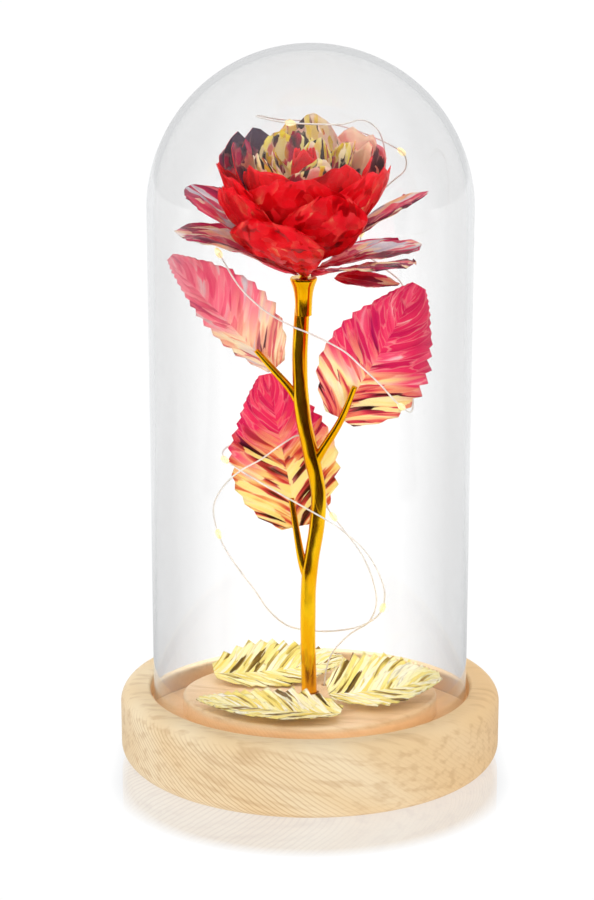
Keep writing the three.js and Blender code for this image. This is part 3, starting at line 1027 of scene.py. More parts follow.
@dataclass
class Studio:
    """A pale floor, soft light from a bright room, and the camera at the photograph's angle.

    Attributes:
        camera_x: how far the camera and its aim stand to the right.
        camera_distance: how far it stands in front of the axis.
        camera_height: its height.
        aim_height: the height on the axis that it looks at.
        focal_pixels: its focal length, in the image's pixels.
        sensor: the length of its sensor.
        floor_reach: how far the floor runs each way, in metres.
        floor_light: how strongly the floor glows on what stands on it.
        floor_mirror: how strongly the floor mirrors the base.
        floor_skin: the floor's own colour.
        mirror_run: how far forward the mirrored base may lie, in metres.
        mirror_reach: the distances over which its image fades, in metres.
        backdrop: how bright the room looks past the glass.
        floor_white: how bright the floor looks past it.
        through_glass: how bright both look through it.
        inside_light: how bright the room is to what stands inside.
        outside_light: the light on all else.
        dark_room: what the glass mirrors of the room in front.
        grey_room: what it mirrors at its sides.
        pale_room: what it mirrors of the room behind and above.
        film_room: how bright the room is in the mirrors inside the glass.
        film_dark: the dark things in those mirrors.
        card_reach: how far from the axis a dark card begins on the floor, in metres.
        card_edge: the Y before which it lies, in metres.
        card: the card's colour.
    """

    camera_x: float = -3.93
    camera_distance: float = 605.1
    camera_height: float = 232.51
    aim_height: float = 94.42
    focal_pixels: float = 2085.75
    sensor: float = 36.0
    floor_reach: float = 30.0
    floor_light: float = 0.72
    floor_mirror: float = 0.45
    floor_skin: str = "#c4c4c4"
    mirror_run: float = -0.021
    mirror_reach: tuple[float, float] = (0.06, 0.054)
    backdrop: float = 1.04
    floor_white: float = 1.02
    through_glass: float = 1.2
    inside_light: float = 2.6
    outside_light: str = "#e4e6e8"
    dark_room: str = "#1c1c1e"
    grey_room: str = "#949698"
    pale_room: str = "#e8e9ea"
    film_room: float = 1.2
    film_dark: str = "#2a1410"
    card_reach: float = 0.335
    card_edge: float = -0.2
    card: str = "#200808"

    def place_camera(self) -> None:
        """Sets up the camera, whose sensor lies along the picture's long side."""
        data = bpy.data.cameras.new("camera")
        data.sensor_width = self.sensor
        data.lens = self.focal_pixels * self.sensor / max(IMAGE_WIDTH, IMAGE_HEIGHT)
        camera = bpy.data.objects.new("camera", data)
        camera.location = Vector((self.camera_x, -self.camera_distance, self.camera_height)) * MM
        aim = Vector((self.camera_x, 0.0, self.aim_height)) * MM
        camera.rotation_euler = (aim - camera.location).to_track_quat("-Z", "Y").to_euler()
        bpy.context.scene.collection.objects.link(camera)
        bpy.context.scene.camera = camera

    def rays(self, add: NodeAdder) -> tuple[bpy.types.Node, ...]:
        """Tells the rays apart that reach the room or the floor.

        Args:
            add: adds a node to the tree.

        Returns:
            Whether a ray comes straight, whether something has mirrored it, and whether it has
            met nothing inside the glass, which is so while it has passed fewer than three faces.
        """
        path = add("LightPath").outputs
        bounces = add("Math", path["Glossy Depth"], path["Diffuse Depth"], operation="ADD")
        straight = add("Math", bounces, 0.5, operation="LESS_THAN")
        mirrored = add("Math", path["Glossy Depth"], path["Diffuse Depth"],
                       operation="GREATER_THAN")
        outside = add("Math", path["Transmission Depth"], 2.5, operation="LESS_THAN")
        return straight, mirrored, outside

    def light_world(self) -> None:
        """Paints the room: white behind the object, light and dark in its mirrors."""
        world = bpy.data.worlds.new("room")
        bpy.context.scene.world = world
        world.use_nodes = True
        world.node_tree.nodes.clear()
        add = partial(add_node, world.node_tree)
        straight, mirrored, outside = self.rays(add)
        path = add("LightPath").outputs
        looked = add("Math", path["Is Camera Ray"], path["Is Transmission Ray"],
                     operation="MAXIMUM")
        seen = add("Math", straight, looked, operation="MULTIPLY")
        direction = add("TexCoord").outputs["Generated"]
        xyz = add("SeparateXYZ", direction).outputs
        # The glass's skin mirrors a dark room in front of it and a grey one above and beside it
        high = add("MapRange", xyz["Z"], 0.3, 0.75)
        behind = add("MapRange", xyz["Y"], -0.35, 0.6)
        around = add("Math", high, behind, operation="MAXIMUM")
        on_glass = add("ValToRGB", around, stops=((0.0, self.dark_room), (0.5, self.grey_room),
                                                  (1.0, self.pale_room)))
        # The film and the plating inside mirror a bright room with a dark space in front
        clutter = add("TexNoise", direction, inputs={"Scale": 2.6, "Detail": 1.0})
        things = add("MapRange", clutter, 0.42, 0.5, 1.0, 0.0)
        above = add("MapRange", xyz["Z"], 0.3, 0.4)
        facing = add("MapRange", xyz["Y"], -0.3, -0.38)
        dark = add("Mix", above, facing, things)
        on_film = add("Mix", dark, grey(self.film_room), self.film_dark, data_type="RGBA")
        mirror = add("Mix", outside, on_film, on_glass, data_type="RGBA")
        soft = add("Mix", outside, grey(self.inside_light), self.outside_light,
                   data_type="RGBA")
        lit = add("Mix", mirrored, soft, mirror, data_type="RGBA")
        backdrop = add("Mix", outside, self.through_glass, self.backdrop)
        whole = add("Mix", seen, lit, backdrop, data_type="RGBA")
        add("OutputWorld", add("Background", whole))

    def mirrored_floor(self, add: NodeAdder, xyz: bpy.types.NodeOutputs,
                       in_glass: bpy.types.Node) -> bpy.types.Node:
        """Gives what the floor shows to a ray that something has mirrored.

        Args:
            add: adds a node to the material.
            xyz: the floor's coordinates, by their letters.
            in_glass: whether the glass's skin or the base has mirrored the ray.

        Returns:
            Its colour: white, dark in front to the glass, and a dark card to what is plated.
        """
        reach = add("VectorMath", add("TexCoord").outputs["Object"], operation="LENGTH")
        beyond = add("Math", reach, self.card_reach, operation="GREATER_THAN")
        ahead = add("Math", xyz["Y"], self.card_edge, operation="LESS_THAN")
        on_card = add("Math", beyond, ahead, operation="MULTIPLY")
        in_front = add("MapRange", xyz["Y"], 0.3, -0.2)
        on_glass = add("ValToRGB", in_front, stops=((0.0, self.pale_room), (1.0, self.dark_room)))
        shown = add("Mix", in_glass, "#ffffff", on_glass, data_type="RGBA")
        return add("Mix", on_card, shown, self.card, data_type="RGBA")

    def base_image(self, add: NodeAdder, xyz: bpy.types.NodeOutputs) -> bpy.types.Node:
        """Gives how strongly the floor mirrors the base, and fades that before the dome's image.

        Args:
            add: adds a node to the material.
            xyz: the floor's coordinates, by their letters.

        Returns:
            The share of the mirrored light.
        """
        run = add("Clamp", xyz["Y"], self.mirror_run, 0.0)
        past = add("Math", xyz["Y"], run, operation="SUBTRACT")
        off = add("VectorMath", add("CombineXYZ", xyz["X"], past), operation="LENGTH")
        return add("MapRange", off, *self.mirror_reach, 0.0, self.floor_mirror)

    def lay_floor(self) -> None:
        """Lays a white floor that mirrors the base."""
        material, add = new_material("white_floor")
        straight, mirrored, outside = self.rays(add)
        xyz = add("SeparateXYZ", add("TexCoord").outputs["Object"]).outputs
        in_glass = add("Math", mirrored, outside, operation="MULTIPLY")
        in_mirror = self.mirrored_floor(add, xyz, in_glass)
        colour = add("Mix", mirrored, "#ffffff", in_mirror, data_type="RGBA")
        body = add("AddShader", add("Emission", colour, self.floor_light),
                   add("BsdfDiffuse", self.floor_skin))
        white = add("Mix", outside, self.through_glass, self.floor_white)
        plain = add("Emission", "#ffffff", white)
        image = add("BsdfGlossy", inputs={"Roughness": 0.04})
        direct = add("MixShader", self.base_image(add, xyz), plain, image)
        shown = add("MixShader", straight, body, direct)
        only_image = add("Emission", in_mirror, self.film_room)
        add("OutputMaterial", add("MixShader", mirrored, shown, only_image))
        reach = self.floor_reach / MM
        points = np.array([(-reach, -reach, 0), (reach, -reach, 0), (reach, reach, 0),
                           (-reach, reach, 0)], float)
        floor = make_piece("floor", points, [(0, 1, 2, 3)], [material])
        material.cycles.emission_sampling = "NONE"

    def hang_lights(self) -> None:
        """Hangs a large soft key light, a fill and a top light."""
        centre = Vector((0.0, 0.0, 0.1))
        for name, place, size, power in (
                ("key_light", (-0.7, -0.9, 1.0), 0.9, 3.2),
                ("fill_light", (0.9, -0.6, 0.6), 0.9, 1.2),
                ("top_light", (0.0, 0.3, 1.3), 0.8, 7.0)):
            data = bpy.data.lights.new(name, "AREA")
            data.size = size
            data.energy = power
            lamp = bpy.data.objects.new(name, data)
            lamp.location = place
            lamp.rotation_euler = (centre - lamp.location).to_track_quat("-Z", "Y").to_euler()
            lamp.visible_camera = lamp.visible_glossy = lamp.visible_transmission = False
            bpy.context.scene.collection.objects.link(lamp)

    def build(self) -> None:
        """Builds the room, and lets light pass the many layers of film."""
        self.light_world()
        self.lay_floor()
        self.hang_lights()
        scene = bpy.context.scene
        scene.view_settings.view_transform = "Standard"
        scene.cycles.max_bounces = 16
        scene.cycles.transmission_bounces = 12
        scene.cycles.glossy_bounces = 6
        scene.cycles.transparent_max_bounces = 32
        LOG.info("studio: floor, lights and room")


@dataclass
class LightString:
    """The fine wire with its resin drops, from its hole in the plateau to its last drop.

    Attributes:
        exit: where the wire comes out of the wood.
        radius: the wire's radius.
        sides: the sides of its section.
        drop_radius: a drop's radius.
        drop_length: half a drop's length.
        drop_slim: how much a drop narrows to its far end, as a share of its radius.
        drop_count: the number of drops.
        drop_steps: the steps from one end of a drop to the other.
        drop_sides: the steps round it.
        knots: the points that the wire passes through after its exit.
    """

    exit: tuple[float, float, float] = (4.5, 8, 15)
    radius: float = 0.25
    sides: int = 8
    drop_radius: float = 0.95
    drop_length: float = 1.7
    drop_slim: float = 0.12
    drop_count: int = 10
    drop_steps: int = 10
    drop_sides: int = 16
    knots: tuple[tuple[float, float, float], ...] = (
        (4.5, 8, 23), (6.5, 9.4, 31), (12, 9, 37.5), (17.8, 6.8, 42), (20, 4.5, 48.5),
        (18.8, 2.5, 56), (15.5, 1.4, 64), (10, 2.2, 71.5), (5.4, 4, 77.5), (3.3, 4.2, 85),
        (2, 4.2, 90.6), (1.2, 4.1, 95.2), (-0.6, 3.8, 98.5), (-3.8, 3.1, 99.6), (-7.2, 2, 98),
        (-10.4, 0.9, 96), (-14.5, -0.2, 93.2), (-20.6, -1, 89.9), (-25.6, -0.6, 85.3),
        (-28.6, 0.6, 79.3), (-28.2, 2.2, 73), (-25.6, 4, 65.6), (-21, 6, 58), (-16.6, 7.6, 51.6),
        (-12, 9, 44.6), (-6.5, 9.8, 40), (0.5, 9.4, 38.6), (8.5, 8, 39), (16, 5, 41.5),
        (21, 2, 46), (22.3, 0, 52.5), (20, -1.6, 60), (15.6, -3, 67), (9.2, -4.8, 73),
        (4.6, -5.3, 76.2), (-1.2, -4.6, 79.4), (-8, -2.4, 82.8), (-15, 0.6, 86.2),
        (-21.4, 3, 89.6), (-25.8, 6, 92.2), (-25.8, 11, 94), (-21, 14.6, 95.8), (-14, 16, 98.4),
        (-7.6, 15.4, 101.8), (-2.4, 13.2, 106.6), (-0.9, 8.6, 111.4), (-2.2, 5.8, 117),
        (-3.2, 5.4, 124), (-3, 6, 132.5), (-1.8, 9.6, 140), (2.4, 18, 145.6), (8, 28, 150),
        (13, 35.4, 156.5), (18.5, 37, 164), (25, 33, 170.6), (29.2, 27.6, 175.4),
        (28.6, 24.4, 180), (24, 23.8, 183), (17, 25.4, 186), (8, 27.6, 188.6), (-2, 28.4, 189.8),
        (-9.6, 26, 190.4), (-15, 20.4, 191.8), (-16, 13, 192), (-12.8, 6.2, 191.6),
        (-7, 1.6, 190.8), (1, 0.4, 190.4), (9, 4, 190.2), (15.4, 11.2, 191), (20.6, 18.6, 187.2),
        (22.6, 21.8, 180.4), (22.4, 22.8, 173), (20, 27, 165.6), (16.4, 30, 158),
        (16, 28.4, 151), (22, 25, 146.4), (28.2, 20.6, 141.4), (29, 13, 131), (28.6, 6, 119.6),
        (30.2, 0, 111.6), (29.2, -6.6, 108.4), (25, -10.8, 111.8), (20, -12, 117.4),
        (14.2, -11.6, 122.8), (10.2, -10.8, 126.4), (4.6, -9.4, 129.4), (-1, -8, 131.8),
        (-5.2, -7.4, 133.4), (-11.6, -7, 136.8), (-15.6, -7, 139.8), (-20.6, -7.5, 145),
        (-24, -7.8, 150.4), (-26.4, -8, 154.6),
    )

    def line(self) -> Points:
        """Gives the wire's centre line, a point each millimetre."""
        return smooth_route((self.exit, *self.knots), 1.0)

    def drop(self, line: Points, share: float) -> tuple[Points, Faces]:
        """Makes a resin drop about the wire.

        Args:
            line: the wire's centre line.
            share: how far along it the drop sits, from 0 to 1.

        Returns:
            The points and the faces.
        """
        at = round(share * (len(line) - 1))
        axis = line[at] - line[at - 1]
        profile = []
        for i in range(self.drop_steps + 1):
            angle = math.pi * (i / self.drop_steps - 0.5)
            waist = self.drop_radius * math.cos(angle) * (1 - self.drop_slim * math.sin(angle))
            profile.append((max(waist, 0.0), self.drop_length * math.sin(angle)))
        points, faces = turned(profile, self.drop_sides)
        turn = np.array(Vector((0, 0, 1)).rotation_difference(Vector(axis)).to_matrix())
        return points @ turn.T + line[at], faces

    def build(self, wire: bpy.types.Material, resin: bpy.types.Material) -> None:
        """Args:
            wire: the wire's finish.
            resin: the drops' finish.
        """
        line = self.line()
        points, faces = swept(line, np.full(len(line), self.radius), self.sides)
        string = make_piece("light_wire", points, faces, [wire], smooth=True)
        mount(string, "light_wire", "light_string")
        shells = [self.drop(line, (i + 1) / self.drop_count) for i in range(self.drop_count)]
        beads = make_piece("light_drops", *joined(shells), [resin], smooth=True)
        mount(beads, "light_bead")


@dataclass
class TurnedBase:
    """The round wooden base, with its ring groove, its two holes and the pocket underneath.

    Attributes:
        radius: the base's radius.
        height: its height.
        top_round: the rounding of its upper edge.
        bottom_round: the rounding of its lower edge.
        groove_outer: the groove's outer radius.
        groove_inner: its inner radius.
        groove_floor: its floor's height.
        lip: the rounding of its edges.
        pocket: the battery pocket's width, depth and roof height.
        stem_hole: the hole's radius, floor height, place in X and Y, and facets.
        wire_hole: the same for the wire's hole, which opens into the pocket.
        past: how far a tool reaches past the wood.
        segments: the steps of a full turn.
    """

    radius: float = 57.5
    height: float = 22.0
    top_round: float = 4.5
    bottom_round: float = 5.0
    groove_outer: float = 48.6
    groove_inner: float = 37.6
    groove_floor: float = 16.0
    lip: float = 1.0
    pocket: tuple[float, float, float] = (54.0, 44.0, 13.0)
    stem_hole: tuple[float, float, float, float, int] = (2.75, 15.0, 0.0, 0.0, 48)
    wire_hole: tuple[float, float, float, float, int] = (1.2, 12.0, 4.5, 8.0, 32)
    past: float = 2.0
    segments: int = 192

    def profile(self) -> list[tuple[float, float]]:
        """Gives the outline that the lathe cuts.

        Returns:
            Pairs of distance from the axis and height, from the underside to the top.
        """
        outer, inner, lip, top = self.groove_outer, self.groove_inner, self.lip, self.height
        return [
            (0.0, 0.0),
            (self.radius * 0.5, 0.0),
            *arc((self.radius - self.bottom_round, self.bottom_round), self.bottom_round,
                 -90, 0, 12),
            *arc((self.radius - self.top_round, top - self.top_round), self.top_round, 0, 90, 12),
            *arc((outer + lip, top - lip), lip, 90, 180, 6),
            (outer, self.groove_floor),
            (inner, self.groove_floor),
            *arc((inner - lip, top - lip), lip, 0, 90, 6),
            (inner * 0.5, top),
            (0.0, top),
        ]

    def tools(self) -> list[tuple[Points, Faces]]:
        """Makes the tool bodies of the pocket and the two holes, which reach past the wood.

        Returns:
            Each tool's points and faces.
        """
        width, depth, roof = self.pocket
        w, d = width / 2, depth / 2
        box = np.array([(x, y, z) for z in (-self.past, roof) for x, y in
                        ((-w, -d), (w, -d), (w, d), (-w, d))], float)
        sides = [(3, 2, 1, 0), (4, 5, 6, 7), (0, 1, 5, 4), (1, 2, 6, 5), (2, 3, 7, 6), (3, 0, 4, 7)]
        cutters = [(box, sides)]
        top = self.height + self.past
        for radius, floor, x, y, segments in (self.stem_hole, self.wire_hole):
            bore = turned([(0, floor), (radius, floor), (radius, top), (0, top)], segments)
            cutters.append((bore[0] + (x, y, 0), bore[1]))
        return cutters

    def cut(self, body: bpy.types.Object, tool: bpy.types.Object) -> None:
        """Cuts a tool's shape out of the wood, and puts the tool away.

        Args:
            body: the wood.
            tool: the tool's body.
        """
        cut = body.modifiers.new("cut", "BOOLEAN")
        cut.operation = "DIFFERENCE"
        cut.object = tool
        cut.solver = "EXACT"
        bpy.context.view_layer.update()
        shape = body.evaluated_get(bpy.context.evaluated_depsgraph_get())
        mesh = bpy.data.meshes.new_from_object(shape)
        body.modifiers.clear()
        body.data = mesh
        bpy.data.objects.remove(tool)

    def build(self, wood: bpy.types.Material) -> None:
        """Turns the base and cuts its holes and pocket.

        Args:
            wood: its finish.
        """
        body = make_piece("turned_base", *turned(self.profile(), self.segments), [wood],
                          smooth=True)
        for points, faces in self.tools():
            self.cut(body, make_piece("cutter", points, faces, []))
        body.data.set_sharp_from_angle(angle=math.radians(35))
        mount(body, "wood", "base")


@dataclass
class GlassDome:
    """The blown dome that stands in the groove: a tube under a half sphere, open at its foot.

    Attributes:
        radius: its outer radius.
        wall: the glass's thickness.
        top: the height of its top.
        foot: the height of its foot.
        segments: the steps of a full turn.
        crown_steps: the steps from the half sphere's edge to its top.
    """

    radius: float = 47.5
    wall: float = 2.0
    top: float = 213.4
    foot: float = 16.0 + GAP
    segments: int = 192
    crown_steps: int = 48

    def build(self, glass: bpy.types.Material) -> None:
        """Blows the dome, with a rounded foot.

        Args:
            glass: its finish.
        """
        inside = self.radius - self.wall
        centre = (0.0, self.top - self.radius)
        lip = (self.radius - self.wall / 2, self.foot + self.wall / 2)
        profile = [
            *arc(lip, self.wall / 2, -90, 0, 6),
            *arc(centre, self.radius, 0, 90, self.crown_steps)[:-1],
            (0.0, self.top),
        ]
        inner = [
            (0.0, self.top - self.wall),
            *arc(centre, inside, 90, 0, self.crown_steps)[1:],
            *arc(lip, self.wall / 2, 180, 270, 6)[:-1],
        ]
        points, faces = turned([*profile, *inner], self.segments)
        dome = make_piece("blown_dome", points, faces, [glass], smooth=True)
        dome.visible_shadow = False
        mount(dome, "glass", "glass_dome")


@dataclass
class PlatedStem:
    """The gold stem with its calyx, and the three leaf stalks that branch from it.

    Attributes:
        radius: the stem's radius.
        knots: the points that its middle passes through.
        calyx_place: where the calyx stands.
        tilt: how far it leans, in degrees.
        forks: the heights at which the stalks leave the stem.
        slim: the radius between two forks, as a share of the stem's.
        swell: how much thicker it is at a fork, as a share of the same.
        swell_reach: how far above and below a fork it is thicker.
        wave: how far its moulded skin waves, as a share of its radius.
        wave_run: the height in which the wave's angle grows by one radian.
        sides: the sides of its section.
        stalk_radius: a stalk's radius.
        stalk_taper: the radius at a stalk's foot and at its end, as shares of that.
        stalk_sides: the sides of its section.
        stalks: the points that each stalk's middle passes through.
    """

    radius: float = 2.3
    knots: tuple[tuple[float, float, float], ...] = (
        (0, 0, 15.3), (-0.4, 0, 30), (-0.6, 0, 44), (-0.2, 0, 58), (2.1, 0, 74), (2.5, 0, 83),
        (0.2, 0, 95), (-2.2, 0, 106.5), (-3.1, 0.4, 122), (-2.6, 1.4, 134), (-2, 0.6, 142.5),
    )
    calyx_place: tuple[float, float, float] = HEAD_PLACE
    tilt: float = HEAD_TILT
    forks: tuple[float, ...] = (59.0, 93.0, 110.0)
    slim: float = 0.985
    swell: float = 0.06
    swell_reach: float = 3.5
    wave: float = 0.02
    wave_run: float = 4.3
    sides: int = 32
    stalk_radius: float = 1.15
    stalk_taper: tuple[float, float] = (1.25, 0.7)
    stalk_sides: int = 20
    stalks: dict[str, tuple[tuple[float, float, float], ...]] = field(default_factory=lambda: {
        "stalk_left": ((-2.4, 0, 108), (-5.4, 0.4, 113.2), (-11.4, 1.2, 120), (-16, 2.2, 125)),
        "stalk_right": ((1, 0, 91), (3, -0.8, 95), (8.8, -2.8, 105), (13, -4.4, 115.5)),
        "stalk_low": ((-0.4, 0, 56), (-2.2, 0.3, 61.5), (-4, 1.2, 71), (-5.6, 2.2, 81)),
    })

    def calyx(self) -> tuple[Points, Faces]:
        """Turns the calyx and the pin that the petals are threaded on, and tilts them.

        Returns:
            The points and the faces.
        """
        profile = [(0, -11), (2.42, -11), (2.5, -8.5), (2.6, -6.2), (2.85, -4.2), (3.3, -2.4),
                   (3.9, -0.9), (4, -0.3), (3.8, 0), (1.4, 0), (1.1, 0.5), (1.1, 17.2), (0, 18)]
        points, faces = turned(profile, 40)
        return set_on_stem(points, self.calyx_place, self.tilt), faces

    def build(self, plate: bpy.types.Material) -> None:
        """Sweeps the stem and its stalks.

        Args:
            plate: their finish.
        """
        line = smooth_route(self.knots, 0.8)
        heights = line[:, 2]
        # It swells a little at each fork, and its moulded skin is slightly wavy
        swell = self.swell * sum(np.exp(-((heights - fork) / self.swell_reach) ** 2)
                                 for fork in self.forks)
        wave = self.wave * np.sin(heights / self.wave_run)
        shaft = swept(line, self.radius * (self.slim + swell - wave), self.sides)
        stem = make_piece("plated_stem", *joined([shaft, self.calyx()]), [plate], smooth=True)
        mount(stem, "plated_gold", "stem")
        stem.data.set_sharp_from_angle(angle=math.radians(50))
        for name, knots in self.stalks.items():
            run = smooth_route(knots, 0.5)
            taper = self.stalk_radius * np.linspace(*self.stalk_taper, len(run))
            stalk = make_piece(f"plated_{name}", *swept(run, taper, self.stalk_sides), [plate],
                               smooth=True)
            mount(stalk, "plated_gold", name)


@dataclass(frozen=True)
class LeafShape:
    """A leaf's place and form: an oval folded along its midrib.

    Attributes:
        base: where it begins.
        tip: where it ends.
        facing: the way that its front looks.
        fold: how steeply its left and right halves rise from the midrib, in degrees.
        arch: how far its middle stands out.
        curl: how far its tip stands out.
        width: its width, as a share of the plain leaf's.
        half_width: half the plain leaf's width.
    """

    base: tuple[float, float, float]
    tip: tuple[float, float, float]
    facing: tuple[float, float, float]
    fold: tuple[float, float]
    arch: float
    curl: float = 0.0
    width: float = 1.0
    half_width: float = 15.5

    def surface(self, u: np.ndarray, v: np.ndarray) -> np.ndarray:
        """Gives the points of the leaf's middle surface.

        Args:
            u: the shares across, from -1 to 1.
            v: the shares along, from 0 to 1.

        Returns:
            One row of X, Y and Z for each.
        """
        base, tip = np.array(self.base, float), np.array(self.tip, float)
        length = np.linalg.norm(tip - base)
        along = (tip - base) / length
        across = np.cross(along, self.facing)
        across /= np.linalg.norm(across)
        normal = np.cross(across, along)
        v = np.clip(v, 0, 1)
        # The oval is widest below its middle, and blunt at both ends
        oval = np.sin(np.pi * (0.04 + 0.92 * v) ** 0.8) ** 0.85
        half = self.half_width * self.width * np.maximum(oval, 0.03)
        fold = np.radians(np.where(u < 0, self.fold[0], self.fold[1]))
        side = half * u * np.cos(fold)
        lift = half * np.abs(u) * np.sin(fold) + self.arch * np.sin(np.pi * v) + self.curl * v ** 3
        return (base + np.multiply.outer(length * v, along) + np.multiply.outer(side, across)
                + np.multiply.outer(lift, normal))


@dataclass
class FilmLeaves:
    """The three leaves on the stem and the three that have fallen to the plateau.

    Attributes:
        growing: the shapes of the leaves on the stem.
        fallen: the shapes of those on the plateau.
        own_films: the film of each leaf that differs from the others.
        crease: how a leaf is creased.
        growing_tooth: how far a growing leaf's teeth stand out, as a share of its half width.
        fallen_tooth: the same for a fallen leaf.
        first_seed: the first leaf's seed.
    """

    growing: dict[str, LeafShape] = field(default_factory=lambda: {
        "leaf_left": LeafShape((-10.8, 4.6, 119), (-42, 4.6, 151.4), (0.15, -1, -0.2),
                               fold=(-60, 20), arch=1.2),
        "leaf_right": LeafShape((8.6, 0.2, 105.5), (31.4, -4.3, 144.8), (0.1, -1, 0.05),
                                fold=(14, 12), arch=2, width=1.03),
        "leaf_low": LeafShape((-3.6, 6.4, 71.5), (-13.2, 11.6, 116.4), (-0.05, -1, 0.1),
                              fold=(12, 10), arch=-2, width=1.06),
    })
    fallen: dict[str, LeafShape] = field(default_factory=lambda: {
        "fallen_leaf_back": LeafShape((-29, 12, 24.4), (10.5, 21, 25.2), (-0.1, -0.25, 1),
                                      fold=(20, 6), arch=-0.8, curl=1.5, width=0.8),
        "fallen_leaf_front": LeafShape((8.5, -30, 24), (-32.5, -19.5, 24.2), (0, -0.05, 1),
                                       fold=(9, 9), arch=-0.6, curl=0.6, width=0.86),
        "fallen_leaf_right": LeafShape((5.5, -11.5, 24.6), (38.5, -4.5, 26.2), (0.05, -0.2, 1),
                                       fold=(22, 10), arch=-0.6, curl=1.2, width=0.92),
    })
    own_films: dict[str, Film] = field(default_factory=lambda: {
        "leaf_left": Film.PALE_LEAF, "leaf_low": Film.LOW_LEAF})
    crease: Crease = Crease(across=12, along=30, split=2, relief=0.12, wrinkle=0.02, wander=0.1,
                            pleat=0.3, slant=0.2)
    growing_tooth: float = 0.055
    fallen_tooth: float = 0.11
    first_seed: int = 41

    def build(self, films: dict[Film, bpy.types.Material]) -> None:
        """Presses the leaves; the left one is paler and the lowest gold for more of its length.

        Args:
            films: each film's finish.
        """
        seed = self.first_seed
        for group, film, slot, tooth in (
                (self.growing, Film.LEAF, "leaf_film", self.growing_tooth),
                (self.fallen, Film.FALLEN, "gold_film", self.fallen_tooth)):
            crease = replace(self.crease, tooth=tooth)
            for name, shape in group.items():
                finish = films[self.own_films.get(name, film)]
                leaf = FilmSheet(shape.surface, crease, seed).build(f"film_{name}", [finish])
                mount(leaf, slot, name)
                seed += 1


@dataclass(frozen=True)
class Ring:
    """A ring of petals on one cup profile.

    Attributes:
        name: the petals' name, before their number.
        forms: each form's Bezier points, in distance from the axis and height.
        half: half the angle that a petal spans, in degrees.
        taper: how much a petal narrows to its tip.
        petals: each petal's facing in degrees, its share of the profile, and its form.
        facets: how many facets a petal has across and along.
        film: the film that the petals are cut from.
        insides: the film inside a petal that differs, by its number.
        relief: how far the creases stand out, in millimetres.
    """

    name: str
    forms: dict[str, tuple[tuple[float, float], ...]]
    half: float
    taper: float
    petals: tuple[tuple[float, float, str], ...]
    facets: tuple[int, int]
    film: Film
    insides: dict[int, Film] = field(default_factory=dict)
    relief: float = 0.35

    def surface(self, facing: float, reach: float, form: str) -> Surface:
        """Gives a petal's surface in the flower head's own axes.

        Args:
            facing: the petal's facing, in degrees.
            reach: its share of the profile.
            form: its form.

        Returns:
            The surface, by the shares across and along.
        """
        p = np.array(self.forms[form], float)
        half = math.radians(self.half)

        def at(u: np.ndarray, v: np.ndarray) -> np.ndarray:
            """Gives the petal's points.

            Args:
                u: the shares across, from -1 to 1.
                v: the shares along, from 0 to 1.

            Returns:
                One row of X, Y and Z for each.
            """
            # The petal's end is rounded: its sides stop short of its middle
            t = (v * reach * (1 - 0.1 * u * u * v))[:, None]
            point = ((1 - t) ** 3 * p[0] + 3 * (1 - t) ** 2 * t * p[1]
                     + 3 * (1 - t) * t ** 2 * p[2] + t ** 3 * p[3])
            slope = ((1 - t) ** 2 * (p[1] - p[0]) + 2 * (1 - t) * t * (p[2] - p[1])
                     + t ** 2 * (p[3] - p[2]))
            slope /= np.linalg.norm(slope, axis=1)[:, None]
            rounding = np.sqrt(1 - self.taper * np.clip((v - 0.5) / 0.5, 0, 1) ** 2.5)
            swing = u * rounding
            # One side lies over the next petal and the other under it
            lift = OVERLAP * swing
            radius = point[:, 0] + slope[:, 1] * lift
            height = point[:, 1] - slope[:, 0] * lift
            angle = math.radians(facing) + swing * half
            return np.stack([radius * np.cos(angle), radius * np.sin(angle), height], axis=1)

        return at


